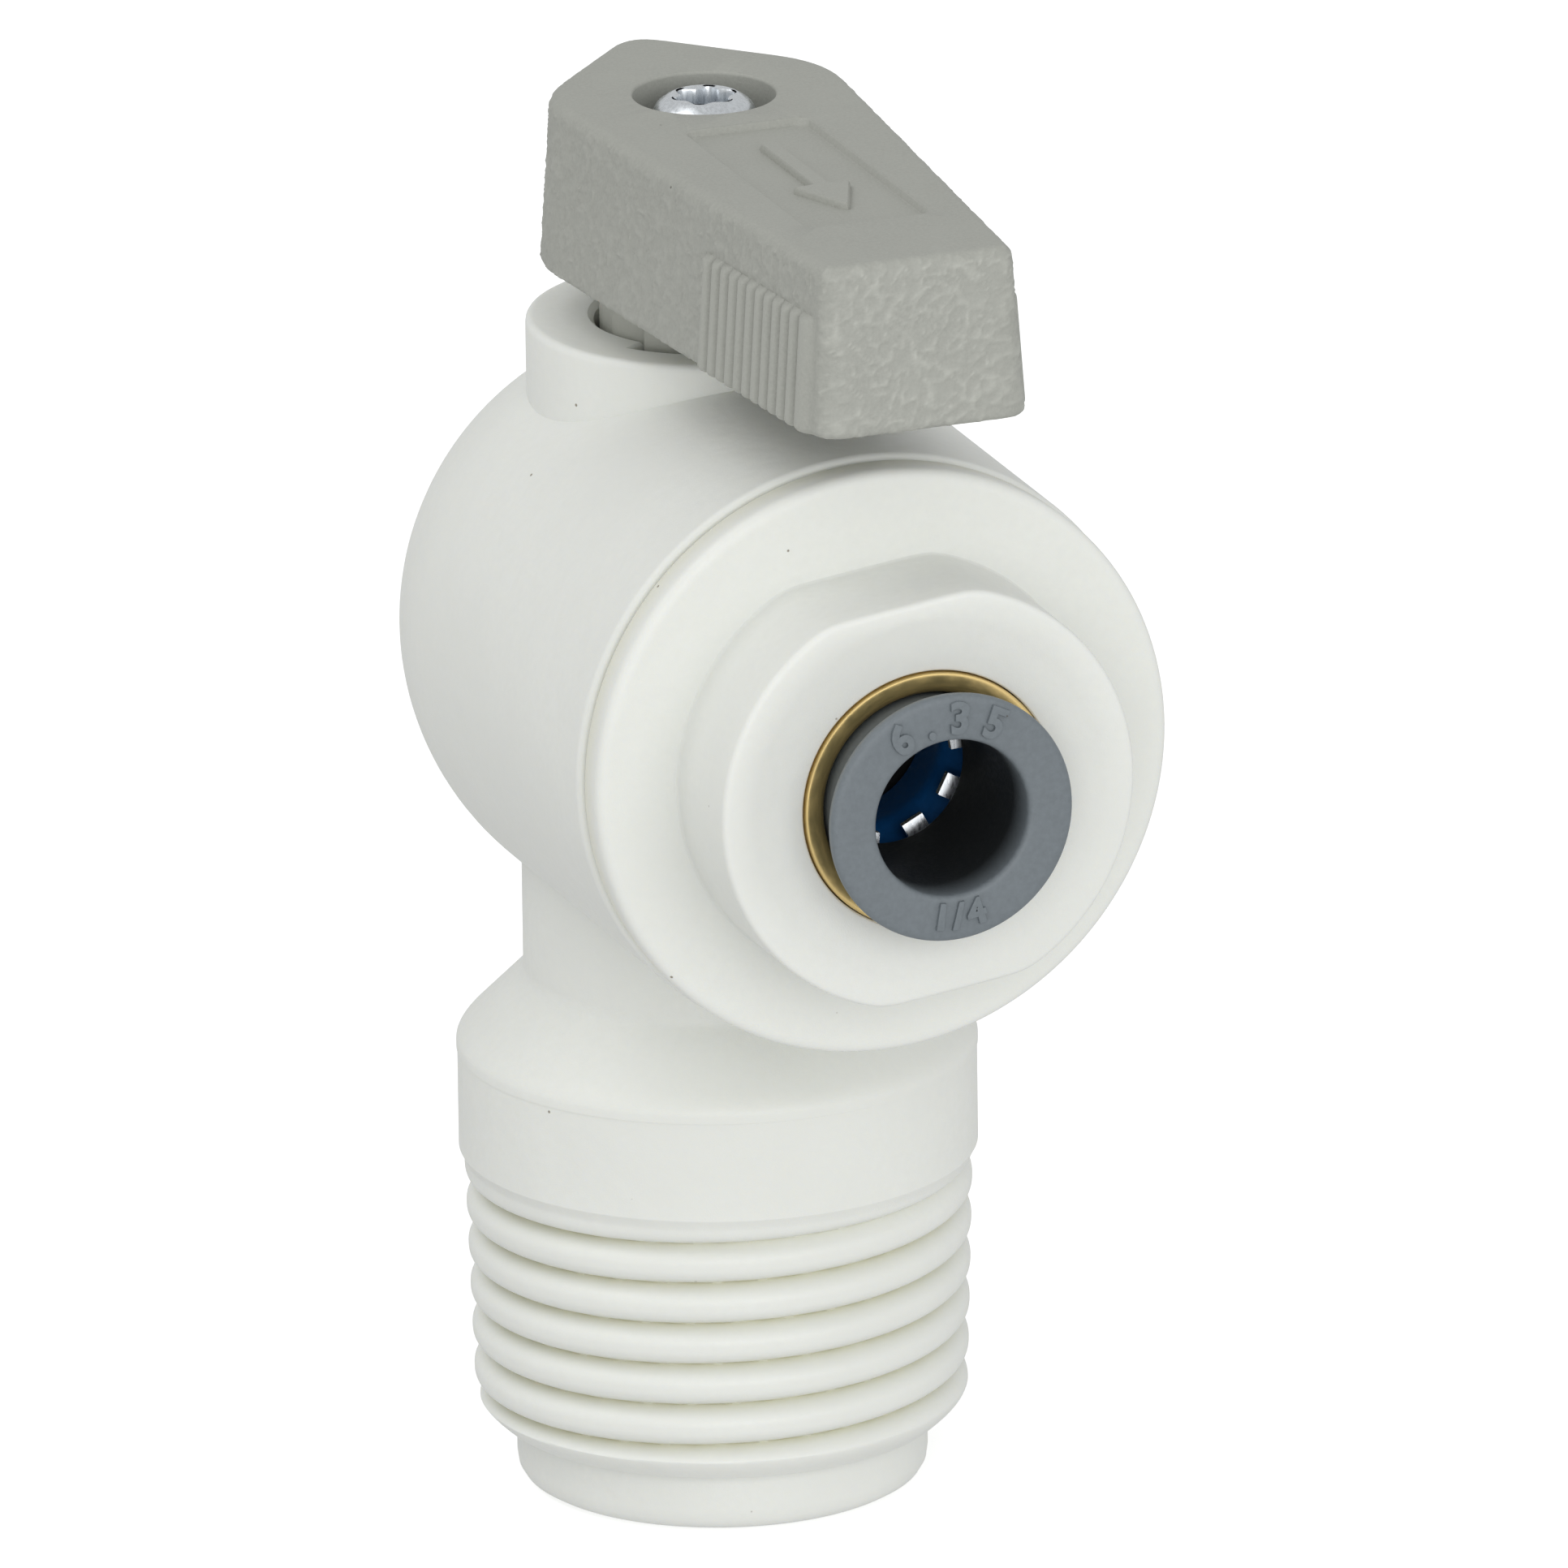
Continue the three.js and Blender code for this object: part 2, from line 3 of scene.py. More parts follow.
import math
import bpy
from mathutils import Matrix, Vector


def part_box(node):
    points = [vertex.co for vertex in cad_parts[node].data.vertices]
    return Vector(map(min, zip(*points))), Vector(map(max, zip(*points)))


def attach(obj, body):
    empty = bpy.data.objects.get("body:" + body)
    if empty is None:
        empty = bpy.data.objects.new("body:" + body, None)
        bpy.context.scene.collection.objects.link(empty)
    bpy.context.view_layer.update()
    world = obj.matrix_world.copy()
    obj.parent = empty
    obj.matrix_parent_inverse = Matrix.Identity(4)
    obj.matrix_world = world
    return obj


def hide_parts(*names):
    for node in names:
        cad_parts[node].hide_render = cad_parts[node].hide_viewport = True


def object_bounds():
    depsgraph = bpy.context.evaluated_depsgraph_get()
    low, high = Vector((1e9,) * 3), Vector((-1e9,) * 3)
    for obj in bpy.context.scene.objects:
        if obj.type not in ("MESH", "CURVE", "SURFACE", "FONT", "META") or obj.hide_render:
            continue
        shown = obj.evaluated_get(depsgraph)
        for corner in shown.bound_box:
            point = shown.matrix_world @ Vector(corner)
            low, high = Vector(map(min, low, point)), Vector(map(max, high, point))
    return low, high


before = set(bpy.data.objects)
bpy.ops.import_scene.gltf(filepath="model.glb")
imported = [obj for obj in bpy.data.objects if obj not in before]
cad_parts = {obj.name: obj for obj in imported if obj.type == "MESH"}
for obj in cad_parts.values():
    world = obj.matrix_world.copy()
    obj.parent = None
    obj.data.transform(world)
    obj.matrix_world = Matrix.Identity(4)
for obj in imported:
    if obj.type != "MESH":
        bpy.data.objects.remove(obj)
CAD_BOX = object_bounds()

from types import SimpleNamespace

import bmesh
import bpy
from bpy.props import FloatProperty, FloatVectorProperty, PointerProperty
from mathutils import Euler, Vector, noise
from mathutils.geometry import delaunay_2d_cdt

bl_info = {
    "name": "Three Way Valve",
    "version": (1, 0, 0),
    "blender": (4, 5, 0),
    "location": "View3D > Sidebar > Valve",
    "description": "Builds a miniature quarter-turn valve with a pipe thread and a push-in port",
    "category": "Add Mesh",
}

# Shapes are drawn in millimetres and made in metres.
MM = 0.001

HOUSING = "valve_housing"
TURNING = "lever_and_ball"
PUSHED = "tube_release"


def box_mm(node):
    """The lowest and highest corners of a CAD node, in millimetres."""
    low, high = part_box(node)
    return low / MM, high / MM


BODY_LOW, BODY_HIGH = box_mm("valve_body")
CAP_LOW, CAP_HIGH = box_mm("end_cap")
LEVER_LOW, LEVER_HIGH = box_mm("lever")
BUTTON_LOW, BUTTON_HIGH = box_mm("release_button")
RING_LOW, RING_HIGH = box_mm("cartridge_ring")
SCREW_LOW, SCREW_HIGH = box_mm("lever_screw")
PORT_HEIGHT = (BUTTON_LOW.z + BUTTON_HIGH.z) / 2
LEVER_LOW_EDGE = 53.35  # below it is only the lever's skirt
CRINKLE_SEED = 11

# Angles about the lever's axis, counted from +X.
STOP_POCKET = math.radians(216), math.radians(355)
LEVER_STOP = math.radians(217.5), math.radians(263.5)
SKIRT_BAND_START = 3.325  # from here to the stop the lever's skirt is a little wider


# Settings that a user may change


def length(name, description, millimetres):
    return FloatProperty(
        name=name, description=description, default=millimetres * MM, unit="LENGTH", precision=5
    )


def colour(name, description, rgb):
    return FloatVectorProperty(
        name=name, description=description, default=rgb, subtype="COLOR", size=3, min=0, max=1
    )


def in_mm(group):
    """A settings group's lengths in millimetres, under the same names."""
    names = group.__annotations__
    return SimpleNamespace(**{name: getattr(group, name) / MM for name in names})


class BodySettings(bpy.types.PropertyGroup):
    thread_pitch: length("Thread Pitch", "Rise of the pipe thread in one turn", 1.814)
    thread_crest: length("Thread Crest", "Radius over the lowest turn of thread", 10.34)
    thread_depth: length("Thread Depth", "Depth of the groove under the crest", 0.95)
    thread_start: length("Thread Start", "Height where the thread begins on the side of +X", 3.0)
    spigot: length("Spigot Radius", "Radius of the plain end below the thread", 8.65)
    spigot_top: length("Spigot Top", "Height where the spigot meets the thread", 2.7)
    collar: length("Collar Radius", "Radius of the plain collar above the thread", 10.92)
    collar_foot: length("Collar Foot", "Height of the collar's lower edge", 14.6)
    collar_top: length("Collar Top", "Height where the collar turns into the cone", 19.5)
    neck: length("Neck Radius", "Radius of the neck under the barrel", 8.1)
    boss: length("Boss Radius", "Radius of the boss under the lever", 7.6)
    well: length("Well Radius", "Radius of the well in the boss", 4.75)
    stop_pocket: length("Stop Pocket Radius", "Radius of the well where the stop swings", 5.85)
    well_floor: length("Well Floor", "Height of the floor of the well", 49.2)
    barrel: length("Barrel Radius", "Radius of the large barrel", BODY_HIGH.x)
    inlet: length("Inlet Radius", "Radius of the bore in the pipe thread", 5.9)
    vent: length("Vent Radius", "Radius of the vent hole behind", 1.0)


class CapSettings(bpy.types.PropertyGroup):
    flange: length("Flange Radius", "Radius of the cap's flange", CAP_HIGH.x)
    flange_front: length("Flange Front", "From the lever's axis to the flange's face", 20.1)
    hub: length("Hub Radius", "Radius of the hub round the tube port", 9.1)
    flats: length("Across Flats", "Distance across the hub's two wrench flats", 17.1)
    cartridge: length("Cartridge Bore", "Radius of the bore that holds the brass ring", 5.55)
    tube_bore: length("Tube Bore", "Radius of the bore that takes the tube", 3.35)


class LeverSettings(bpy.types.PropertyGroup):
    nose_half: length("Nose Half Width", "Half the width of the lever's nose", 4.15)
    nose_reach: length("Nose Reach", "Reach of the nose at the top", 25.0)
    shoulder_half: length("Shoulder Half Width", "Half the width at the shoulders", 6.45)
    draft: length("Draft", "How much wider the foot is than the top, each side", 0.5)
    crinkle: length("Crinkle Depth", "Depth of the leathery mould texture", 0.1)
    rib_pitch: length("Rib Pitch", "Distance from one grip rib to the next", 0.82)
    rib_height: length("Rib Height", "How far the grip ribs stand proud", 0.3)


class ColourSettings(bpy.types.PropertyGroup):
    white: colour("White Plastic", "Body and cap", (0.83, 0.84, 0.80))
    # painted shade, darker and yellower, for the hollows of the white plastic
    hollow_shade_colour: colour("Hollow Shade Colour", "Hollows of the white plastic", (0.76, 0.75, 0.60))
    grey: colour("Lever Grey", "Lever", (0.365, 0.370, 0.335))
    button: colour("Button Grey", "Release button", (0.160, 0.183, 0.200))
    blue: colour("Ring Blue", "Ring behind the teeth", (0.005, 0.085, 0.27))
    brass: colour("Brass", "Cartridge ring", (0.76, 0.57, 0.25))
    steel: colour("Steel", "Teeth and screw", (0.74, 0.77, 0.80))


# Mesh tools


def upright(radius, along, angle):
    """A point of a shape turned about the lever's axis."""
    return Vector((radius * math.cos(angle), radius * math.sin(angle), along))


def portward(radius, along, angle):
    """A point of a shape turned about the port's axis, that far in front of the lever's axis."""
    return Vector((radius * math.cos(angle), -along, PORT_HEIGHT + radius * math.sin(angle)))


def softened(corners, steps=4, closed=False):
    """An outline whose corners (x, y, cut) are rounded from that far before to after them."""
    points = []
    last = len(corners) - 1
    for i, corner in enumerate(corners):
        at = Vector(corner[:2])
        cut = corner[2] if len(corner) > 2 else 0
        if cut == 0 or (not closed and i in (0, last)):
            points.append(at)
            continue
        before = Vector(corners[i - 1][:2]) - at
        after = Vector(corners[(i + 1) % len(corners)][:2]) - at
        start = before.normalized() * min(cut, before.length * 0.48)
        end = after.normalized() * min(cut, after.length * 0.48)
        for step in range(steps + 1):
            t = step / steps
            points.append(at + start * (1 - t) ** 2 + end * t**2)
    return points


def loop_of(bm, points):
    return [bm.verts.new(point) for point in points]


def bridge(bm, first, second):
    """Joins two loops with quads, or a loop and a single point with triangles."""
    count = max(len(first), len(second))
    for i in range(count):
        j = (i + 1) % count
        if len(first) == 1:
            bm.faces.new((first[0], second[j], second[i]))
        elif len(second) == 1:
            bm.faces.new((first[i], first[j], second[0]))
        else:
            bm.faces.new((first[i], first[j], second[j], second[i]))


def chain(bm, loops):
    """Joins each loop to the next."""
    for first, second in zip(loops, loops[1:]):
        bridge(bm, first, second)


def turned(profile, facets, place, shape=None):
    """A closed shape turned from (radius, along) points; shape may change a radius by angle."""
    bm = bmesh.new()
    rings = []
    for station, (radius, along) in enumerate(profile):
        if radius < 1e-6:
            rings.append(loop_of(bm, [place(0, along, 0)]))
            continue
        ring = []
        for i in range(facets):
            angle = 2 * math.pi * i / facets
            r = shape(station, radius, along, angle) if shape else radius
            ring.append(place(r, along, angle))
        rings.append(loop_of(bm, ring))
    chain(bm, rings)
    if len(rings[0]) > 1:
        bridge(bm, rings[-1], rings[0])
    return bm


def within(x, y, loop):
    """Whether a place lies inside a loop, seen from above."""
    inside = False
    for i, vert in enumerate(loop):
        x1, y1, _ = vert.co
        x2, y2, _ = loop[i - 1].co
        if (y1 > y) != (y2 > y) and x < x1 + (y - y1) * (x2 - x1) / (y2 - y1):
            inside = not inside
    return inside


def fill(bm, loops):
    """Closes a level region between an outer loop and the loops of its holes."""
    verts = [vert for loop in loops for vert in loop]
    edges = []
    start = 0
    for loop in loops:
        count = len(loop)
        edges += [(start + i, start + (i + 1) % count) for i in range(count)]
        start += count
    made = delaunay_2d_cdt([vert.co.xy for vert in verts], edges, [], 1, 1e-7)
    for triangle in made[2]:
        corners = [verts[made[3][i][0]] for i in triangle]
        x = sum(corner.co.x for corner in corners) / 3
        y = sum(corner.co.y for corner in corners) / 3
        if within(x, y, loops[0]) and not any(within(x, y, hole) for hole in loops[1:]):
            bm.faces.new(corners)


def paint(bm, layer, amount):
    """Gives each point of the mesh a value that its finish reads."""
    values = bm.verts.layers.float.new(layer)
    for vert in bm.verts:
        vert[values] = amount(vert.co)


def as_object(bm, name):
    bmesh.ops.recalc_face_normals(bm, faces=bm.faces)
    mesh = bpy.data.meshes.new(name)
    bm.to_mesh(mesh)
    bm.free()
    thing = bpy.data.objects.new(name, mesh)
    bpy.context.scene.collection.objects.link(thing)
    return thing


def joined(base, *steps):
    """The base mesh after the steps, each ("UNION" or "DIFFERENCE", mesh)."""
    target = as_object(base, "target")
    tools = []
    for operation, bm in steps:
        tool = as_object(bm, "tool")
        change = target.modifiers.new(operation, "BOOLEAN")
        change.operation = operation
        change.solver = "EXACT"
        change.object = tool
        tools.append(tool)
    graph = bpy.context.evaluated_depsgraph_get()
    solid = bpy.data.meshes.new_from_object(target.evaluated_get(graph))
    bm = bmesh.new()
    bm.from_mesh(solid)
    bpy.data.meshes.remove(solid)
    for thing in [target, *tools]:
        mesh = thing.data
        bpy.data.objects.remove(thing)
        bpy.data.meshes.remove(mesh)
    bmesh.ops.dissolve_degenerate(bm, edges=bm.edges, dist=1e-4)
    return bm


def finished(name, bm, material, body, node=None, sharp=32):
    """Makes a piece of the mesh, gives it its finish and lets it ride on its body."""
    bmesh.ops.remove_doubles(bm, verts=bm.verts, dist=1e-5)
    bmesh.ops.scale(bm, vec=(MM, MM, MM), verts=bm.verts)
    piece = as_object(bm, name)
    mesh = piece.data
    mesh.polygons.foreach_set("use_smooth", [True] * len(mesh.polygons))
    mesh.set_sharp_from_angle(angle=math.radians(sharp))
    mesh.materials.append(material)
    smooth = piece.modifiers.new("Even shading", "WEIGHTED_NORMAL")
    smooth.keep_sharp = True
    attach(piece, body)
    if node:
        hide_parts(node)
    return piece


# Materials


class Finish:
    """A Principled material with helpers for the nodes that feed it."""

    def __init__(self, name, **sockets):
        self.material = bpy.data.materials.new(name)
        self.material.use_nodes = True
        self.tree = self.material.node_tree
        self.shader = self.tree.nodes["Principled BSDF"]
        for socket, value in sockets.items():
            self.set(self.shader, socket.replace("_", " "), value)
        place = self.add("ShaderNodeTexCoord")
        scale = self.add("ShaderNodeMapping", Scale=(1 / MM, 1 / MM, 1 / MM))
        self.join(place.outputs["Object"], scale.inputs["Vector"])
        self.place = scale.outputs["Vector"]

    def set(self, node, socket, value):
        if isinstance(value, bpy.types.NodeSocket):
            self.join(value, node.inputs[socket])
        elif isinstance(value, tuple) and node.inputs[socket].type == "RGBA":
            node.inputs[socket].default_value = (*value, 1)
        else:
            node.inputs[socket].default_value = value

    def join(self, output, socket):
        self.tree.links.new(output, socket)

    def add(self, kind, **sockets):
        node = self.tree.nodes.new(kind)
        for socket, value in sockets.items():
            self.set(node, socket.replace("_", " "), value)
        return node

    def painted(self, layer):
        node = self.add("ShaderNodeAttribute")
        node.attribute_name = layer
        return node.outputs["Fac"]

    def speckle(self, scale, detail=2.0, roughness=0.5):
        node = self.add(
            "ShaderNodeTexNoise",
            Vector=self.place, Scale=scale, Detail=detail, Roughness=roughness,
        )
        return node.outputs["Fac"]

    def ramp(self, value, low, high, to_low=0.0, to_high=1.0):
        node = self.add(
            "ShaderNodeMapRange",
            Value=value, From_Min=low, From_Max=high, To_Min=to_low, To_Max=to_high,
        )
        node.clamp = True
        return node.outputs["Result"]

    def blend(self, factor, first, second):
        node = self.tree.nodes.new("ShaderNodeMix")
        node.data_type = "RGBA"
        for index, value in ((0, factor), (6, first), (7, second)):
            self.set(node, index, value)
        return node.outputs[2]

    def product(self, first, second):
        node = self.add("ShaderNodeMath")
        node.operation = "MULTIPLY"
        self.set(node, 0, first)
        self.set(node, 1, second)
        return node.outputs[0]

    def dots(self, scale, size, share):
        """Small round spots: about share of the cells have one."""
        cells = self.add("ShaderNodeTexVoronoi", Vector=self.place, Scale=scale)
        near = self.ramp(cells.outputs["Distance"], size * 0.6, size, 1.0, 0.0)
        split = self.add("ShaderNodeSeparateColor", Color=cells.outputs["Color"])
        chosen = self.ramp(split.outputs[0], share, share + 0.01, 1.0, 0.0)
        return self.product(near, chosen)

    def relief(self, height, distance, under=None):
        node = self.add("ShaderNodeBump", Height=height, Strength=1.0, Distance=distance * MM)
        if under:
            self.join(under, node.inputs["Normal"])
        return node.outputs["Normal"]

    def use(self, socket, value):
        self.set(self.shader, socket, value)


def shades():
    return bpy.context.scene.valve_colours


def scaled(rgb, factor):
    return tuple(min(1.0, part * factor) for part in rgb)


def white_plastic():
    """Moulded acetal: satin, slightly see-through, with painted shade, darker and a little yellow,
    in its hollows.
    """
    white = tuple(shades().white)
    finish = Finish(
        "White moulded plastic",
        Roughness=0.42,
        IOR=1.48,
        Specular_IOR_Level=0.35,
        Subsurface_Weight=0.25,
        Subsurface_Radius=(1.0, 0.9, 0.7),
        Subsurface_Scale=1.1 * MM,
    )
    broad = finish.ramp(finish.speckle(0.11), 0.35, 0.65)
    fine = finish.ramp(finish.speckle(2.6, 3.0), 0.3, 0.7)
    tone = finish.blend(broad, white, scaled(white, 0.965))
    tone = finish.blend(finish.product(fine, 0.5), tone, scaled(white, 0.955))
    # painted shade: the hollows are blended towards a darker, yellower colour
    tone = finish.blend(finish.painted("hollow_shade"), tone, tuple(shades().hollow_shade_colour))
    tone = finish.blend(finish.dots(0.42, 0.035, 0.30), tone, (0.30, 0.27, 0.22))
    finish.use("Base Color", tone)
    finish.use("Roughness", finish.ramp(fine, 0, 1, 0.38, 0.47))
    grain = finish.relief(finish.speckle(14.0, 2.0), 0.006)
    finish.use("Normal", finish.relief(finish.speckle(0.7, 2.0), 0.05, under=grain))
    return finish.material


def grey_plastic():
    """Spark-eroded matt plastic, painted paler as a painted highlight on its ridges and as painted
    bounce light on its skirt.
    """
    grey = tuple(shades().grey)
    finish = Finish("Grey lever plastic", Roughness=0.5, IOR=1.5)
    fine = finish.ramp(finish.speckle(7.0, 3.0, 0.6), 0.3, 0.7)
    broad = finish.ramp(finish.speckle(0.35), 0.35, 0.65)
    tone = finish.blend(fine, scaled(grey, 0.93), scaled(grey, 1.06))
    tone = finish.blend(finish.product(broad, 0.4), tone, scaled(grey, 1.05))
    # painted light: ridges get a painted highlight and the skirt painted bounce light, paler and
    # less rough
    painted_light = finish.painted("painted_light")
    tone = finish.blend(painted_light, tone, scaled(grey, 1.28))
    tone = finish.blend(finish.dots(0.55, 0.05, 0.22), tone, (0.05, 0.045, 0.035))
    finish.use("Base Color", tone)
    finish.use("Roughness", finish.ramp(painted_light, 0, 1, 0.56, 0.38))
    finish.use("Normal", finish.relief(finish.speckle(6.0, 3.0, 0.6), 0.022))
    return finish.material


def button_plastic():
    """Satin blue-grey plastic, with painted shade deep in its bore."""
    base = tuple(shades().button)
    finish = Finish("Blue grey button plastic", Roughness=0.5, IOR=1.5)
    fine = finish.ramp(finish.speckle(5.0, 3.0), 0.3, 0.7)
    tone = finish.blend(fine, scaled(base, 0.94), scaled(base, 1.07))
    tone = finish.blend(finish.dots(0.9, 0.05, 0.2), tone, (0.07, 0.06, 0.05))
    # painted shade: the deep bore is blended towards near black
    tone = finish.blend(finish.painted("bore_shade"), tone, scaled(base, 0.12))
    finish.use("Base Color", tone)
    finish.use("Roughness", finish.ramp(fine, 0, 1, 0.46, 0.56))
    finish.use("Normal", finish.relief(finish.speckle(9.0, 2.0), 0.008))
    return finish.material


def plain_plastic(name, rgb, roughness):
    finish = Finish(name, Roughness=roughness, IOR=1.5)
    fine = finish.ramp(finish.speckle(4.0, 2.0), 0.3, 0.7)
    finish.use("Base Color", finish.blend(fine, scaled(rgb, 0.93), scaled(rgb, 1.07)))
    finish.use("Roughness", finish.ramp(fine, 0, 1, roughness - 0.04, roughness + 0.06))
    finish.use("Normal", finish.relief(finish.speckle(10.0, 2.0), 0.006))
    return finish.material


def turned_metal(name, rgb, roughness, stretch, depth):
    """Metal with fine marks, drawn out along the ways that stretch is small."""
    finish = Finish(name, Metallic=1.0, Roughness=roughness)
    marks = finish.add("ShaderNodeMapping", Vector=finish.place, Scale=stretch)
    streak = finish.add("ShaderNodeTexNoise", Vector=marks.outputs["Vector"], Scale=3.0, Detail=4.0)
    lines = finish.ramp(streak.outputs["Fac"], 0.3, 0.7)
    finish.use("Base Color", finish.blend(lines, scaled(rgb, 0.86), scaled(rgb, 1.06)))
    finish.use("Roughness", finish.ramp(lines, 0, 1, roughness - 0.06, roughness + 0.1))
    finish.use("Normal", finish.relief(streak.outputs["Fac"], depth))
    return finish.material


def carried_over(node, material):
    """A CAD node that stays as it is and gets a better finish."""
    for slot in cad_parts[node].material_slots:
        slot.material = material


# Pieces


def thread_groove(settings, angle, height):
    """How deep the thread's groove is at a place, from 0 on a crest to 1 at the root."""
    turns = (height - settings.thread_start) / settings.thread_pitch - angle / (2 * math.pi)
    across = abs(2 * (turns % 1.0) - 1)
    fade_in = min(1.0, max(0.0, (height - settings.spigot_top - 0.2) / 1.0))
    fade_out = min(1.0, max(0.0, (settings.collar_foot - 0.35 - height) / 1.1))
    return across**2.8 * fade_in * fade_out


class VALVE_OT_body(bpy.types.Operator):
    """Build the moulded body: pipe thread, collar, neck, barrel, dome and boss"""

    bl_idname = "valve.body"
    bl_label = "Moulded Body"

    def pipe(self, s):
        """Spigot, thread, collar, cone and neck, up to the port's axis."""
        low = softened([
            (0, 0), (s.spigot, 0, 1.0), (s.spigot, s.spigot_top - 0.02),
            (s.spigot + 0.55, s.spigot_top),
        ])
        rows = 200
        rise = (s.collar_foot - s.spigot_top) / rows
        middle = [(s.thread_crest, s.spigot_top + rise * (row + 0.5)) for row in range(rows)]
        high = softened([
            (s.collar, s.collar_foot),
            (s.collar, s.collar_top - 0.62),
            (s.collar + 0.04, s.collar_top - 0.6),
            (s.collar + 0.04, s.collar_top, 0.75),
            (s.neck, s.collar_top + 2.85, 0.35),
            (s.neck, PORT_HEIGHT),
            (0, PORT_HEIGHT),
        ], 6)
        profile = [*low, *middle, *high]
        threaded = range(len(low), len(low) + rows)
        taper = 32  # the crests widen by 1 in 32 to each side
        lead_in, blend = 1.35, 0.5  # heights of the rounded start and of the run into the collar

        def shape(station, radius, height, angle):
            if station not in threaded:
                return radius
            crest = s.thread_crest + (height - s.spigot_top) / taper
            r = crest - s.thread_depth * thread_groove(s, angle, height)
            up = (height - s.spigot_top) / lead_in
            if up < 1:
                r = min(r, s.spigot + 0.75 + math.sin(up * math.pi / 2))
            near_collar = max(0.0, 1 - (s.collar_foot - height) / blend)
            return r + (s.collar - crest) * near_collar**1.5

        return turned(profile, 160, upright, shape)

    def barrel(self, s):
        """The round dome behind and the barrel that opens to the front."""
        dome_shift = BODY_HIGH.y - s.barrel
        steps = 30
        dome = []
        for step in range(steps + 1):
            t = step / steps * math.pi / 2
            dome.append((s.barrel * math.sin(t), -dome_shift - s.barrel * math.cos(t)))
        front = -BODY_LOW.y
        rim = softened([
            (s.barrel, 0), (s.barrel, front, 0.35), (s.barrel - 1.2, front), (0, front),
        ], 5)
        return turned([*dome, *rim], 160, portward)

    def stop_pocket(self, s):
        """The wider part of the well, flared at its mouth, where the lever's stop swings."""
        top = BODY_HIGH.z
        steps = 60
        bm = bmesh.new()
        levels = []
        for height, flare in (
            (s.well_floor, 0), (top - 0.22, 0), (top - 0.06, 0.06),
            (top + 0.1, 0.25), (top + 1, 0.25),
        ):
            start = STOP_POCKET[0] - flare / s.stop_pocket
            end = STOP_POCKET[1] + flare / s.stop_pocket
            angles = [start + (end - start) * i / steps for i in range(steps + 1)]
            ring = [upright(s.stop_pocket + flare, height, angle) for angle in angles]
            ring += [upright(s.well - 0.5, height, angle) for angle in reversed(angles)]
            levels.append(loop_of(bm, ring))
        chain(bm, levels)
        fill(bm, [levels[0]])
        fill(bm, [levels[-1]])
        return bm

    def execute(self, context):
        s = in_mm(context.scene.valve_body)
        top = BODY_HIGH.z
        boss = turned(softened([
            (0, PORT_HEIGHT), (s.boss, PORT_HEIGHT), (s.boss, top, 0.35), (0, top),
        ]), 128, upright)
        pocket, seat_bore, seat_depth = 5.3, 3.9, 9.05
        floor = PORT_HEIGHT - seat_depth
        inlet = turned([
            (0, -1), (s.inlet, -1), (s.inlet, floor - 4), (seat_bore, floor - 2),
            (seat_bore, floor), (pocket, floor), (pocket, PORT_HEIGHT), (0, PORT_HEIGHT),
        ], 96, upright)
        ball_room, shelf, cap_room, outside = 7.3, 9.1, 10.6, 20
        chamber = turned([
            (0, -seat_depth), (pocket, -seat_depth), (pocket, -ball_room), (ball_room, -ball_room),
            (ball_room, shelf), (cap_room, shelf), (cap_room, outside), (0, outside),
        ], 96, portward)
        vent_mouth = -s.barrel - 0.5
        vent = turned([
            (0, vent_mouth - 3), (s.vent + 1.6, vent_mouth - 3), (s.vent, vent_mouth),
            (s.vent, -8), (0, -8),
        ], 48, portward)
        stem, stem_flange, shoulder = 3.2, 4.6, 46.2
        stem_bore = turned([
            (0, PORT_HEIGHT + 5.4), (stem_flange, PORT_HEIGHT + 5.4), (stem_flange, shoulder),
            (stem, shoulder), (stem, s.well_floor), (s.well, s.well_floor), (s.well, top - 0.25),
            (s.well + 0.3, top + 0.05), (s.well + 0.3, top + 1), (0, top + 1),
        ], 96, upright)
        bm = joined(
            self.pipe(s),
            ("UNION", self.barrel(s)),
            ("UNION", boss),
            ("DIFFERENCE", inlet),
            ("DIFFERENCE", chamber),
            ("DIFFERENCE", vent),
            ("DIFFERENCE", stem_bore),
            ("DIFFERENCE", self.stop_pocket(s)),
        )

        # the thread's grooves get painted shade, strongest at the root
        def hollow_shade(at):
            if s.spigot_top < at.z < s.collar_foot and math.hypot(at.x, at.y) > s.spigot:
                return 0.9 * thread_groove(s, math.atan2(at.y, at.x), at.z) ** 2.5
            return 0.0

        paint(bm, "hollow_shade", hollow_shade)
        finished("valve_body_moulding", bm, white_plastic(), HOUSING, "valve_body")
        return {"FINISHED"}


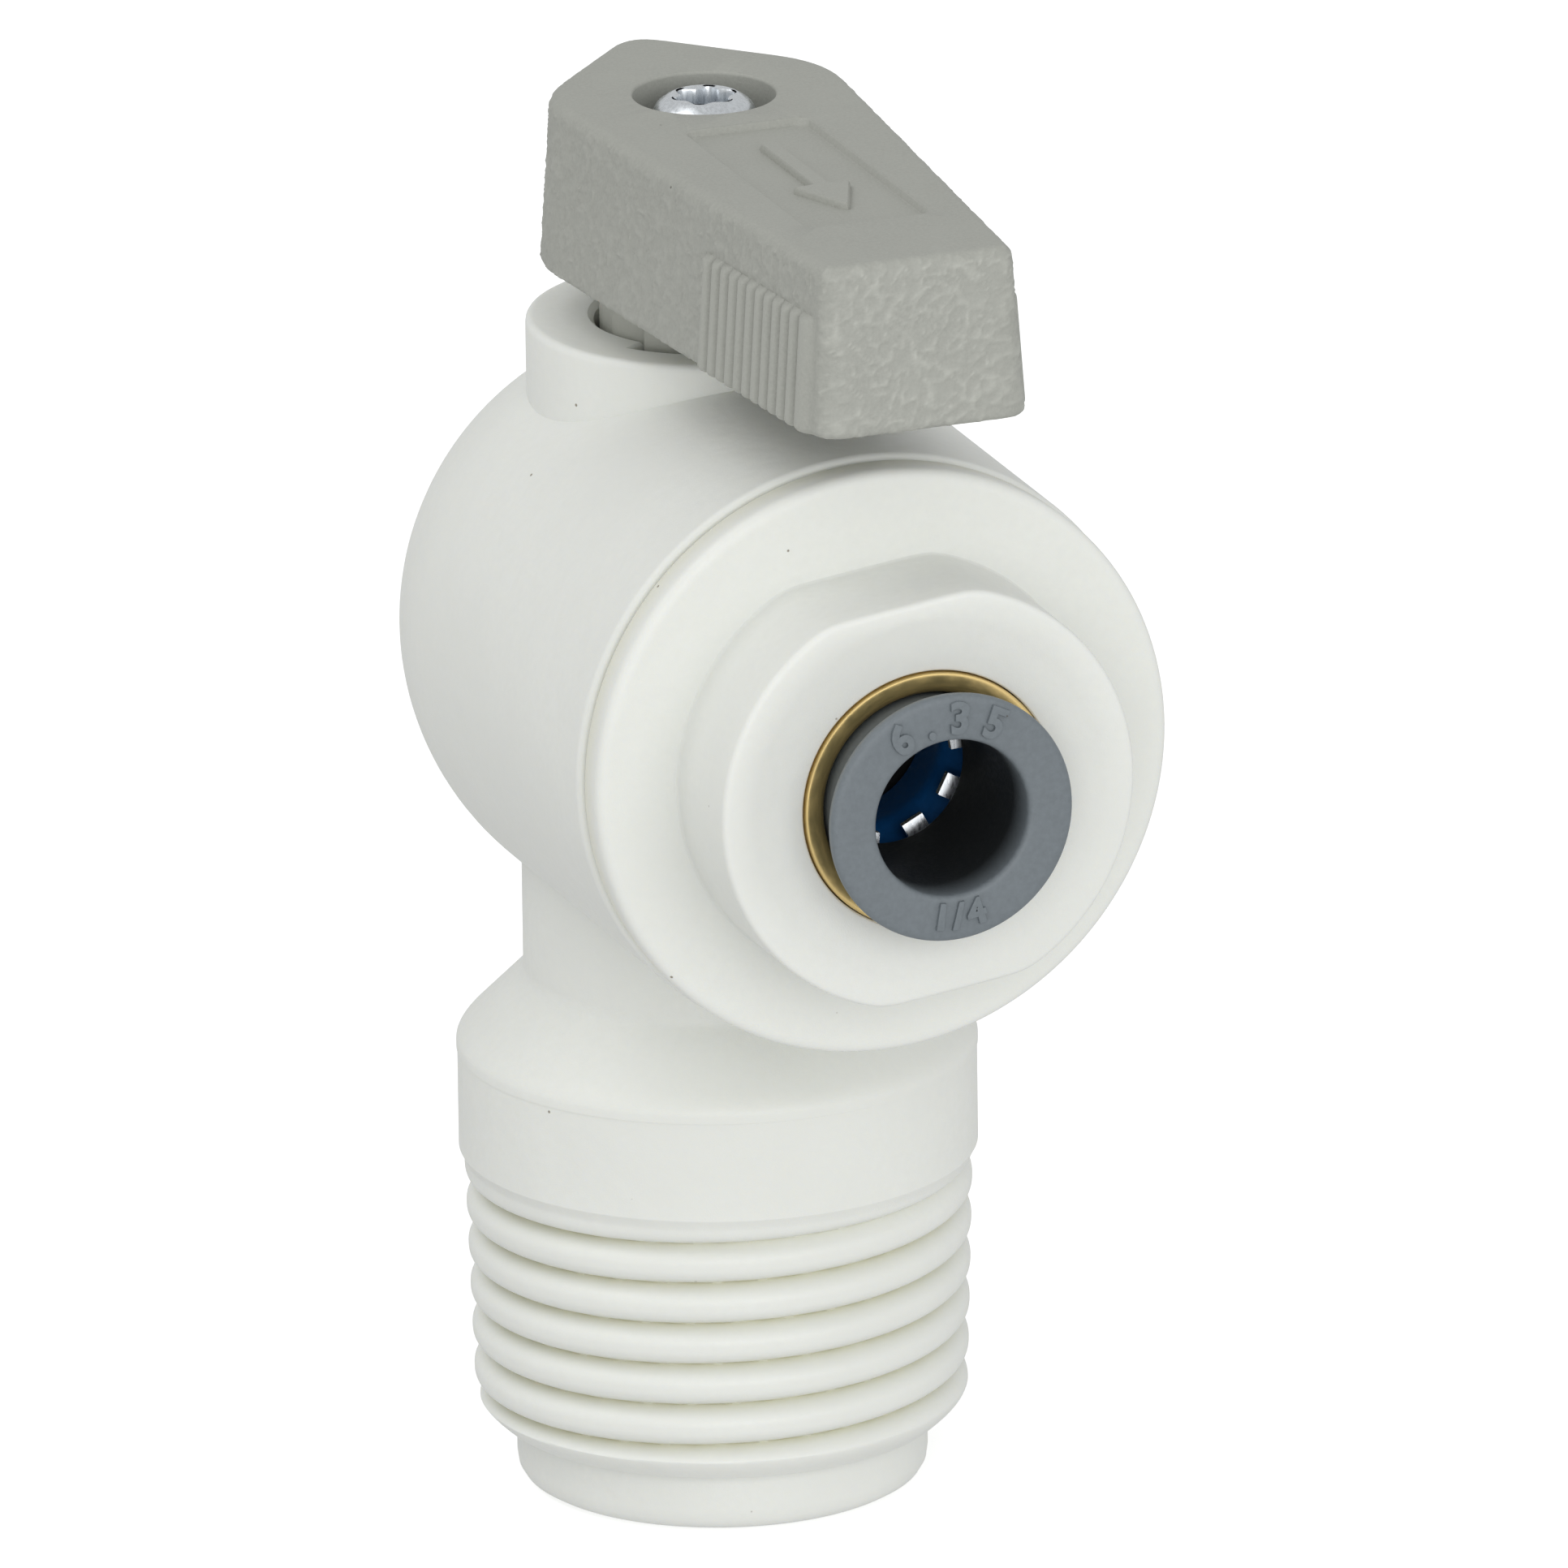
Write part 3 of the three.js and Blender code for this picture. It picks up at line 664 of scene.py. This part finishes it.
class VALVE_OT_end_cap(bpy.types.Operator):
    """Build the end cap with its flange, hub and wrench flats"""

    bl_idname = "valve.end_cap"
    bl_label = "End Cap"

    def execute(self, context):
        s = in_mm(context.scene.valve_cap)
        face = -CAP_LOW.y
        turn = math.radians(7.3)  # of the flats, from level
        inside = [
            (5.3, 9.05), (5.3, 7.5), (7.1, 7.5), (7.1, 9.15), (10.35, 9.15), (10.35, 10.9),
            (8.75, 10.9), (8.75, 12.9), (10.35, 12.9), (10.35, 18.15),
        ]
        flange = softened([
            (10.4, 18.15), (s.flange - 0.05, 18.15, 0.5), (s.flange, s.flange_front, 0.55),
            (s.hub + 0.4, s.flange_front),
        ], 6)
        hub = softened([
            (s.hub + 0.35, s.flange_front), (s.hub, s.flange_front, 0.3), (s.hub, face, 0.32),
            (s.hub - 0.6, face),
        ], 4)
        sunk = face - 0.04
        mouth = softened([
            (7.75, face), (7.65, sunk), (s.cartridge, sunk, 0.15), (s.cartridge, face - 1),
        ], 3)
        tube_stop, shelf, flow = 10.9, 13.2, 2.6
        bore = [
            (s.cartridge, shelf), (s.tube_bore, shelf), (s.tube_bore, tube_stop), (flow, tube_stop),
            (flow, 9.05),
        ]
        profile = [*inside, *flange, *hub, *mouth, *bore]
        flat_stations = range(len(inside) + len(flange), len(inside) + len(flange) + len(hub))

        sharpness = 90  # of the edges between the round and the flats

        def shape(station, radius, along, angle):
            if station not in flat_stations:
                return radius
            across = abs(math.cos(angle - turn - math.pi / 2))
            flat = s.flats / 2 / max(across, 1e-3)
            edge = (s.hub**-sharpness + flat**-sharpness) ** (-1 / sharpness)
            return radius * edge / s.hub

        bm = turned(profile, 240, portward, shape)
        # behind the flange's face the cap gets painted shade, darker and yellower
        paint(bm, "hollow_shade", lambda at: 0.55 if -at.y < s.flange_front - 0.7 else 0.0)
        finished("end_cap_moulding", bm, white_plastic(), HOUSING, "end_cap")
        return {"FINISHED"}


class VALVE_OT_tube_port(bpy.types.Operator):
    """Build the brass ring, the steel teeth and the blue ring of the tube port"""

    bl_idname = "valve.tube_port"
    bl_label = "Tube Port"

    def tooth(self, bm, angle):
        """One bent tooth, 1 mm wide, from the ring inward and away from the port's mouth."""
        half, half_thick = 0.5, 0.14
        line = [(4.2, 19.6), (3.6, 19.52), (3.18, 19.4)]
        rings = []
        for radius, along in line:
            across = Vector((-math.sin(angle), 0, math.cos(angle))) * half
            middle = portward(radius, along, angle)
            inner, outer = Vector((0, half_thick, 0)), Vector((0, -half_thick, 0))
            rings.append(loop_of(bm, [
                middle - across + inner, middle + across + inner,
                middle + across + outer, middle - across + outer,
            ]))
        chain(bm, rings)
        bm.faces.new(rings[0])
        bm.faces.new(rings[-1])

    def execute(self, context):
        outer = RING_HIGH.x
        front = -RING_LOW.y
        edge, roll, depth, steps = 0.16, 0.77, 0.5, 12  # of the lip that rolls into the port
        lip = softened([(outer, front - depth), (outer, front, 0.1), (outer - edge, front)], 3)
        for step in range(1, steps + 1):
            t = step / steps * math.pi / 2
            lip.append((outer - edge - roll * math.sin(t), front - depth * (1 - math.cos(t))))
        inner, back, shelf = 5.15, 19.85, 22.6
        brass = turned([
            (inner, shelf), (inner, back), (outer, back), *lip, (outer - 0.93, shelf),
        ], 160, portward)
        metal = turned_metal("Turned brass", tuple(shades().brass), 0.36, (0.4, 6.0, 0.4), 0.004)
        finished("brass_cartridge_ring", brass, metal, HOUSING, "cartridge_ring")

        teeth = 10
        inner, outer, back, front = 4.0, 5.4, 19.45, 19.75
        ring = turned([(inner, back), (outer, back), (outer, front), (inner, front)], 96, portward)
        for i in range(teeth):
            self.tooth(ring, math.pi / 2 - (i + 0.25) / teeth * 2 * math.pi)
        steel = turned_metal("Stamped steel", tuple(shades().steel), 0.28, (3.0, 3.0, 0.6), 0.004)
        finished("toothed_grip_ring", ring, steel, HOUSING, "grip_ring", sharp=25)

        inner, outer, back, front = 3.35, 5.45, 15.75, 19.4
        blue = turned(softened([
            (inner, back), (outer, back, 0.2), (outer, front, 0.2), (4.6, front, 0.2),
            (inner, 17.9, 0.4),
        ], 4, closed=True), 96, portward)
        plastic = plain_plastic("Dark blue plastic", tuple(shades().blue), 0.38)
        finished("blue_support_ring", blue, plastic, HOUSING, "seal_support_ring")
        return {"FINISHED"}


class VALVE_OT_release_button(bpy.types.Operator):
    """Build the release button with its raised size marks"""

    bl_idname = "valve.release_button"
    bl_label = "Release Button"

    def raised(self, bm, text, size, spacing, middle, centre, upward):
        """Adds raised characters along an arc of that middle radius on the button's face."""
        curve = bpy.data.curves.new("marks", "FONT")
        curve.body = text
        curve.size = size
        curve.space_character = spacing
        curve.offset = 0.05
        curve.extrude = 0.12
        curve.bevel_depth = 0.025
        curve.align_x = "CENTER"
        curve.resolution_u = 4
        holder = bpy.data.objects.new("marks", curve)
        bpy.context.scene.collection.objects.link(holder)
        graph = bpy.context.evaluated_depsgraph_get()
        mesh = bpy.data.meshes.new_from_object(holder.evaluated_get(graph))
        bm.from_mesh(mesh)
        bpy.data.objects.remove(holder)
        bpy.data.curves.remove(curve)
        bpy.data.meshes.remove(mesh)
        middle_line = size * 0.35
        face = -BUTTON_LOW.y
        fresh = [vert for vert in bm.verts if not vert.tag]
        for vert in fresh:
            x, y, z = vert.co
            rise = y - middle_line
            if upward:
                radius, angle = middle + rise, math.pi / 2 + centre - x / middle
            else:
                radius, angle = middle - rise, -math.pi / 2 + centre + x / middle
            vert.co = portward(radius, face + z, angle)
            vert.tag = True

    def execute(self, context):
        bore, sleeve, catch, back = 3.35, 4.45, 5.0, 20.4
        bore_shade_start = 26.5  # behind it the bore gets painted shade
        head, front = BUTTON_HIGH.x, -BUTTON_LOW.y
        bm = turned(softened([
            (bore, front, 0.3), (bore, bore_shade_start - 0.2), (bore, back, 0.15), (sleeve, back, 0.2),
            (sleeve, 21.5), (catch, 21.65, 0.1), (catch, 22.35, 0.1), (sleeve, 22.4),
            (sleeve, 25.9), (head, 27.6, 0.25), (head, front, 0.42),
        ], 6, closed=True), 160, portward)

        # the bore behind that depth gets painted shade
        def bore_shade(at):
            inside = math.hypot(at.x, at.z - PORT_HEIGHT) < bore + 0.1
            return 1.0 if inside and -at.y < bore_shade_start else 0.0

        paint(bm, "bore_shade", bore_shade)
        plastic = button_plastic()
        finished("release_button_collar", bm, plastic, PUSHED, "release_button")
        marks = bmesh.new()
        self.raised(marks, "6.35", 1.85, 1.75, 4.38, math.radians(3), True)
        self.raised(marks, "1/4", 1.5, 1.25, 4.2, math.radians(2.5), False)
        finished("button_size_marks", marks, plastic, PUSHED, sharp=50)
        return {"FINISHED"}


class VALVE_OT_lever(bpy.types.Operator):
    """Build the lever with its crinkled sides, grip ribs, recess and arrow"""

    bl_idname = "valve.lever"
    bl_label = "Lever"

    NOSE = -0.5  # where the outward way's y is below this, it is the nose's front

    def outline(self, s):
        """Points round the lever's top edge, each with the way that points outward."""
        corners = [
            (s.nose_half, -s.nose_reach, 0.8),
            (s.shoulder_half, 2.4, 2.4),
            (0, 9.2, 1.9),
            (-s.shoulder_half, 2.4, 2.4),
            (-s.nose_half, -s.nose_reach, 0.8),
        ]
        rough = softened(corners, 8, closed=True)
        fine_step, step = s.rib_pitch / 10, 0.13
        grip_front, grip_back = -24.6, -14.0
        points = []
        for start, end in zip(rough, rough[1:] + rough[:1]):
            along = end - start
            ribbed = along.length > 10
            travelled = 0.0
            while travelled < along.length - step / 2:
                points.append(start + along * (travelled / along.length))
                on_ribs = ribbed and grip_front < points[-1].y < grip_back
                travelled += fine_step if on_ribs else step
        count = len(points)
        reach = 3
        outward = []
        for i in range(count):
            way = points[(i + reach) % count] - points[i - reach]
            outward.append(Vector((way.y, -way.x)).normalized())
        return points, outward

    def rib(self, s, y, height):
        """How far the grip ribs stand out here, from 0 to 1."""
        first, ribs, top = 14.0, 11, LEVER_LOW_EDGE + 5.0
        place = (-y - first) / s.rib_pitch
        if not 0 < place < ribs + 1.4:
            return 0.0
        # The one nearest the nose is a broader bar.
        across = (place % 1.0 - 0.5) / 0.44 if place < ribs else (place - ribs - 0.7) / 0.64
        end = min(1.0, max(0.0, (top - height) / 0.35))
        return math.sqrt(max(0.0, 1 - across * across)) * math.sqrt(1 - (1 - end) ** 2)

    def crinkle(self, place):
        """Leathery relief from 0 in the hollows to 1 on the narrow ridges."""
        warped = place + noise.noise_vector(place * 1.2) * 0.3
        ridge = 1 - abs(noise.noise(warped * 1.75)) * 4.0
        small = 1 - abs(noise.noise(warped * 3.1 + Vector((7, 3, 5)))) * 3.0
        return max(0.0, ridge) * 0.65 + max(0.0, small) * 0.35

    def relief(self, point, way, height):
        """The crinkle at a place: it fades out at the top edge and leaves the grip smooth."""
        below = LEVER_HIGH.z - height
        if abs(way.x) > 0.9 and -24.4 < point.y < -14.2 and height < LEVER_LOW_EDGE + 5.1:
            return 0.0
        relief = self.crinkle(Vector((point.x, point.y, height)))
        if way.y < self.NOSE:
            return relief * min(1.0, (below + 0.15) / 0.3)
        return relief * min(1.0, below / 0.35) * 0.9

    def rows(self):
        """Heights up the side, each with how far its rounded edges draw it in."""
        top, bottom = LEVER_HIGH.z, LEVER_LOW_EDGE
        top_round, foot_round, between = 0.5, 0.28, 52
        span = top - top_round - bottom - foot_round
        foot = [i / 5 * math.pi / 2 for i in range(6)]
        crown = [i / 7 * math.pi / 2 for i in range(8)]
        rows = [
            (bottom + foot_round * (1 - math.cos(t)), -foot_round * (1 - math.sin(t))) for t in foot
        ]
        rows += [(bottom + foot_round + span * i / between, 0.0) for i in range(1, between)]
        rows += [
            (top - top_round * (1 - math.sin(t)), -top_round * (1 - math.cos(t))) for t in crown
        ]
        return rows

    def walls(self, bm, s, points, outward, ridge_light_layer):
        """The side from the lower edge to the top edge; returns its two end loops."""
        top, bottom = LEVER_HIGH.z, LEVER_LOW_EDGE
        loops = []
        for height, inset in self.rows():
            flare = s.draft * (1 - (height - bottom) / (top - bottom))
            ring = []
            ridge_light = []
            for point, way in zip(points, outward):
                rib = self.rib(s, point.y, height) if abs(way.x) > 0.9 else 0.0
                relief = self.relief(point, way, height)
                flat = point + way * (flare + inset + relief * s.crinkle + rib * s.rib_height)
                ring.append((flat.x, flat.y, height))
                # the crinkle's ridges and the rib crests get a painted highlight, twice as strong
                # on the nose
                ridge_light.append(max(relief**2 * (1.0 if way.y < self.NOSE else 0.5), 0.3 * rib**4))
            loops.append(loop_of(bm, ring))
            for vert, amount in zip(loops[-1], ridge_light):
                vert[ridge_light_layer] = amount
        chain(bm, loops)
        return loops[0], loops[-1]

    def recess(self, bm):
        """The sunk panel with a raised arrow; returns the panel's upper edge."""
        top = LEVER_HIGH.z
        floor = top - 0.3
        side, front, back, corner = 2.8, -19.3, -4.7, 0.6
        levels = []
        for inset, height in ((0, top), (0.08, top - 0.06), (0.2, floor + 0.03), (0.3, floor)):
            ring = softened([
                (side - inset, front + inset, corner), (side - inset, back - inset, corner),
                (-side + inset, back - inset, corner), (-side + inset, front + inset, corner),
            ], 6, closed=True)
            levels.append(loop_of(bm, [(x, y, height) for x, y in ring]))
        chain(bm, levels)
        half, tail, head, neck, tip = 0.42, -7.4, 1.35, -13.6, -17.0
        foot = softened([
            (half, tail, 0.3), (half, neck, 0.1), (head, neck, 0.35), (0, tip, 0.6),
            (-head, neck, 0.35), (-half, neck, 0.1), (-half, tail, 0.3),
        ], 4, closed=True)
        raised = []
        for height, shrink in ((floor, 0.0), (floor + 0.2, 0.04), (floor + 0.28, 0.12)):
            ring = []
            for i, point in enumerate(foot):
                way = foot[(i + 1) % len(foot)] - foot[i - 1]
                inward = Vector((way.y, -way.x)).normalized()
                ring.append((*(point + inward * shrink), height))
            raised.append(loop_of(bm, ring))
        chain(bm, raised)
        fill(bm, [raised[-1]])
        fill(bm, [levels[-1], raised[0]])
        return levels[0]

    def circle(self, bm, radius, height, sides=96):
        ring = [upright(radius, height, 2 * math.pi * i / sides) for i in range(sides)]
        return loop_of(bm, ring)

    def square(self, bm, across, height, sides=96):
        ring = []
        for i in range(sides):
            angle = 2 * math.pi * i / sides
            radius = across / 2 / max(abs(math.cos(angle)), abs(math.sin(angle)))
            ring.append(upright(radius, height, angle))
        return loop_of(bm, ring)

    def screw_well(self, bm):
        """The hole for the screw, down to the square drive; returns its two end loops."""
        top, floor, drive_top = LEVER_HIGH.z, 57.5, 55.1
        well, hole, drive = 2.99, 1.65, 4.4
        loops = [
            self.circle(bm, 3.12, top),
            self.circle(bm, 3.03, top - 0.05),
            self.circle(bm, well, top - 0.15),
            self.circle(bm, well, floor + 0.1),
            self.circle(bm, 2.85, floor),
            self.circle(bm, hole, floor),
            self.circle(bm, hole, drive_top),
            self.square(bm, drive, drive_top),
            self.square(bm, drive, LEVER_LOW_EDGE),
        ]
        chain(bm, loops)
        return loops[0], loops[-1]

    def pocket(self, bm, side):
        """One of the two moulding pockets under the lever; returns its lower edge."""
        web, wall, front, back, corner = 0.6, 1.5, 23.5, 8.0, 0.4
        corners = [
            (web, -front, corner), (4.15 - wall, -front, corner), (5.4 - wall, -back, corner),
            (web, -back, corner),
        ]
        rings = []
        for height, inset in ((LEVER_LOW_EDGE, 0), (57.8, 0.1), (58.2, 0.4)):
            ring = softened([
                (x + (inset if x < 1 else -inset), y + (inset if y < -20 else -inset), cut)
                for x, y, cut in corners
            ], 4, closed=True)
            rings.append(loop_of(bm, [(side * x, y, height) for x, y in ring]))
        chain(bm, rings)
        fill(bm, [rings[-1]])
        return rings[0]

    def skirt(self):
        """The ring under the lever that turns in the well, with the lever's stop."""
        low, high = LEVER_LOW.z, LEVER_LOW_EDGE + 0.02
        drive, outer, stop, band = 2.2, 4.5, 0.75, 0.15

        def shape(station, radius, height, angle):
            if radius == drive:
                return drive / max(abs(math.cos(angle)), abs(math.sin(angle)))
            if LEVER_STOP[0] < angle < LEVER_STOP[1]:
                return radius + stop
            return radius + (band if SKIRT_BAND_START < angle < LEVER_STOP[0] else 0.0)

        bm = turned([
            (drive, low), (outer - 0.12, low), (outer, low + 0.12), (outer, high), (drive, high),
        ], 192, upright, shape)
        # the whole skirt is painted paler, as painted bounce light from the white boss under it
        paint(bm, "painted_light", lambda at: 1.0)
        return bm

    def execute(self, context):
        s = in_mm(context.scene.valve_lever)
        noise.seed_set(CRINKLE_SEED)  # or the crinkle would be another one in each run
        bm = bmesh.new()
        # the layer of painted highlight on the lever's ridges
        ridge_light_layer = bm.verts.layers.float.new("painted_light")
        points, outward = self.outline(s)
        foot, crown = self.walls(bm, s, points, outward, ridge_light_layer)
        well_top, well_foot = self.screw_well(bm)
        panel = self.recess(bm)
        fill(bm, [crown, well_top, panel])
        fill(bm, [foot, well_foot, self.pocket(bm, 1), self.pocket(bm, -1)])
        plastic = grey_plastic()
        finished("lever_handle", bm, plastic, TURNING, "lever", sharp=40)
        finished("lever_skirt", self.skirt(), plastic, TURNING)
        return {"FINISHED"}


class VALVE_OT_lever_screw(bpy.types.Operator):
    """Build the lever's screw with its six-lobe recess, and the washer under it"""

    bl_idname = "valve.lever_screw"
    bl_label = "Lever Screw"

    def execute(self, context):
        head, top, foot = SCREW_HIGH.x, SCREW_HIGH.z, SCREW_LOW.z
        recess_r, lobe, seat, shank = 1.16, 0.16, 58.0, 1.25
        mouth = [
            (0, top - 1.3), (0.5, top - 1.32), (recess_r - 0.12, top - 1.28),
            (recess_r, top - 1.15), (recess_r, top - 0.12), (recess_r + 0.03, top - 0.05),
            (recess_r + 0.12, top),
        ]
        dome = softened([
            (recess_r + 0.16, top), (head - 0.75, top, 0.25), (head - 0.1, top - 0.45, 0.4),
            (head, seat, 0.2), (shank + 0.05, seat), (shank, seat - 0.1), (shank, foot, 0.2),
            (0, foot),
        ], 6)
        profile = [*mouth, *dome]

        def shape(station, radius, along, angle):
            if station == 0 or station >= len(mouth):
                return radius
            weight = 0.4 if station == 1 else 1.0
            return radius + lobe * weight * math.cos(6 * angle)

        bm = turned(profile, 144, upright, shape)
        steel = turned_metal("Zinc plate", tuple(shades().steel), 0.27, (2.2, 2.2, 0.25), 0.0015)
        finished("lever_screw_head", bm, steel, TURNING, "lever_screw", sharp=28)
        low, high = box_mm("screw_washer")
        hole, rim = 1.6, 2.8
        washer = turned(softened([
            (hole, low.z, 0.06), (rim, low.z, 0.08), (rim, high.z, 0.08), (hole, high.z, 0.06),
        ], 3, closed=True), 96, upright)
        finished("lever_screw_washer", washer, steel, TURNING, "screw_washer")
        return {"FINISHED"}


class VALVE_OT_inner_parts(bpy.types.Operator):
    """Give the ball, the seats, the stem and its washer their finishes"""

    bl_idname = "valve.inner_parts"
    bl_label = "Inner Parts"

    def execute(self, context):
        plate = turned_metal("Polished nickel plate", (0.72, 0.70, 0.66), 0.16, (2, 2, 2), 0.002)
        carried_over("ball", plate)
        seat = plain_plastic("Waxy seat plastic", (0.82, 0.82, 0.79), 0.4)
        for node in ("front_ball_seat", "rear_ball_seat", "lower_ball_seat", "stem_thrust_washer"):
            carried_over(node, seat)
        carried_over("stem", white_plastic())
        return {"FINISHED"}


class VALVE_OT_seals(bpy.types.Operator):
    """Build the rubber rings"""

    bl_idname = "valve.seals"
    bl_label = "Rubber Rings"

    def execute(self, context):
        rubber = plain_plastic("Black rubber", (0.014, 0.014, 0.015), 0.55)
        for node, place in (
            ("front_seat_backing_ring", portward),
            ("rear_seat_backing_ring", portward),
            ("lower_seat_backing_ring", upright),
            ("cap_seal_ring", portward),
            ("tube_seal_ring", portward),
            ("lower_stem_seal_ring", upright),
            ("upper_stem_seal_ring", upright),
        ):
            low, high = box_mm(node)
            middle = (low + high) / 2
            if place is portward:
                along, thick, outer = -middle.y, (high.y - low.y) / 2, high.x
            else:
                along, thick, outer = middle.z, (high.z - low.z) / 2, high.x
            section = []
            sides = 20
            for i in range(sides):
                t = 2 * math.pi * i / sides
                section.append((outer - thick + thick * math.cos(t), along + thick * math.sin(t)))
            ring = turned(section, 96, place)
            body = TURNING if "stem" in node else HOUSING
            finished(node + "_moulded", ring, rubber, body, node, sharp=60)
        return {"FINISHED"}


# The stage


class StageSettings(bpy.types.PropertyGroup):
    distance: length("Camera Distance", "From the camera to the point it looks round", 1586)
    lens: FloatProperty(
        name="Focal Length", description="Of the camera, on a 36 mm sensor",
        default=869.1, unit="CAMERA",
    )
    azimuth: FloatProperty(
        name="Azimuth", description="Turn of the camera toward -X from the port's axis",
        default=math.radians(20.53), subtype="ANGLE",
    )
    elevation: FloatProperty(
        name="Elevation", description="Height of the camera above the horizon",
        default=math.radians(18.24), subtype="ANGLE",
    )
    roll: FloatProperty(
        name="Roll", description="Lean of the object to the left in the view",
        default=math.radians(0.75), subtype="ANGLE",
    )
    floor_size: length("Floor Size", "Side of the square floor", 6000)


class VALVE_OT_stage(bpy.types.Operator):
    """Set up the camera, the pale floor and the soft studio light"""

    bl_idname = "valve.stage"
    bl_label = "Stage"

    def camera(self, context, s):
        back = Vector((
            -math.sin(s.azimuth) * math.cos(s.elevation),
            -math.cos(s.azimuth) * math.cos(s.elevation),
            math.sin(s.elevation),
        ))
        right = Vector((math.cos(s.azimuth), -math.sin(s.azimuth), 0))
        up = back.cross(right)
        looked_round = Vector((0, 0, 32 * MM))
        aim = looked_round + right * 2.95 * MM - up * 1.70 * MM
        data = bpy.data.cameras.new("Camera")
        data.lens = s.lens
        data.sensor_width = 36
        data.clip_start = 0.1
        data.clip_end = 50
        camera = bpy.data.objects.new("Camera", data)
        camera.location = looked_round + back * s.distance
        gaze = (aim - camera.location).to_track_quat("-Z", "Y")
        camera.rotation_mode = "QUATERNION"
        camera.rotation_quaternion = gaze @ Euler((0, 0, -s.roll)).to_quaternion()
        context.scene.collection.objects.link(camera)
        context.scene.camera = camera

    def floor(self, context, s):
        half = s.floor_size / 2
        bm = bmesh.new()
        low = CAD_BOX[0].z - 0.05 * MM
        corners = (-half, -half), (half, -half), (half, half), (-half, half)
        bm.faces.new(loop_of(bm, [(x, y, low) for x, y in corners]))
        floor = as_object(bm, "Floor")
        paper = bpy.data.materials.new("White paper sweep")
        paper.use_nodes = True
        shader = paper.node_tree.nodes["Principled BSDF"]
        shader.inputs["Base Color"].default_value = (0.9, 0.9, 0.9, 1)
        shader.inputs["Roughness"].default_value = 0.9
        shader.inputs["Specular IOR Level"].default_value = 0.0
        shader.inputs["Emission Color"].default_value = (1, 1, 1, 1)
        shader.inputs["Emission Strength"].default_value = 0.42
        floor.data.materials.append(paper)
        # The bright paper is seen, but neither lights the valve from below nor shines in it.
        floor.visible_diffuse = False
        floor.visible_glossy = False

    def light(self, context, name, place, size, power):
        data = bpy.data.lights.new(name, "AREA")
        data.shape = "RECTANGLE"
        data.size, data.size_y = size
        data.energy = power
        lamp = bpy.data.objects.new(name, data)
        lamp.location = place
        lamp.rotation_mode = "QUATERNION"
        lamp.rotation_quaternion = (Vector((0, 0, 0.035)) - lamp.location).to_track_quat("-Z", "Y")
        context.scene.collection.objects.link(lamp)

    def execute(self, context):
        s = context.scene.valve_stage
        self.camera(context, s)
        self.floor(context, s)
        world = bpy.data.worlds.new("Studio")
        world.use_nodes = True
        sky = world.node_tree.nodes["Background"]
        sky.inputs["Color"].default_value = (0.99, 1.0, 1.0, 1)
        sky.inputs["Strength"].default_value = 0.64
        context.scene.world = world
        self.light(context, "Front softbox", (-0.06, -0.7, 0.12), (0.8, 0.7), 3.25)
        self.light(context, "Left softbox", (-0.35, 0.05, 0.6), (0.4, 0.4), 0.85)
        context.scene.view_settings.view_transform = "Standard"
        context.scene.view_settings.look = "None"
        return {"FINISHED"}


class VALVE_PT_panel(bpy.types.Panel):
    """Lists the valve's pieces and settings"""

    bl_label = "Three Way Valve"
    bl_idname = "VALVE_PT_panel"
    bl_space_type = "VIEW_3D"
    bl_region_type = "UI"
    bl_category = "Valve"

    def draw(self, context):
        layout = self.layout
        for operator in OPERATORS:
            layout.operator(operator.bl_idname)
        for name in SETTINGS:
            group = getattr(context.scene, name)
            box = layout.box()
            for setting in group.__annotations__:
                box.prop(group, setting)


SETTINGS = {
    "valve_body": BodySettings,
    "valve_cap": CapSettings,
    "valve_lever": LeverSettings,
    "valve_colours": ColourSettings,
    "valve_stage": StageSettings,
}
OPERATORS = (
    VALVE_OT_body,
    VALVE_OT_end_cap,
    VALVE_OT_tube_port,
    VALVE_OT_release_button,
    VALVE_OT_lever,
    VALVE_OT_lever_screw,
    VALVE_OT_inner_parts,
    VALVE_OT_seals,
    VALVE_OT_stage,
)


def register():
    for name, group in SETTINGS.items():
        bpy.utils.register_class(group)
        setattr(bpy.types.Scene, name, PointerProperty(type=group))
    for thing in (*OPERATORS, VALVE_PT_panel):
        bpy.utils.register_class(thing)


def unregister():
    for thing in (VALVE_PT_panel, *reversed(OPERATORS)):
        bpy.utils.unregister_class(thing)
    for name, group in SETTINGS.items():
        delattr(bpy.types.Scene, name)
        bpy.utils.unregister_class(group)


def main():
    register()
    for operator in OPERATORS:
        group, action = operator.bl_idname.split(".")
        getattr(getattr(bpy.ops, group), action)()


if __name__ == "__main__":
    main()
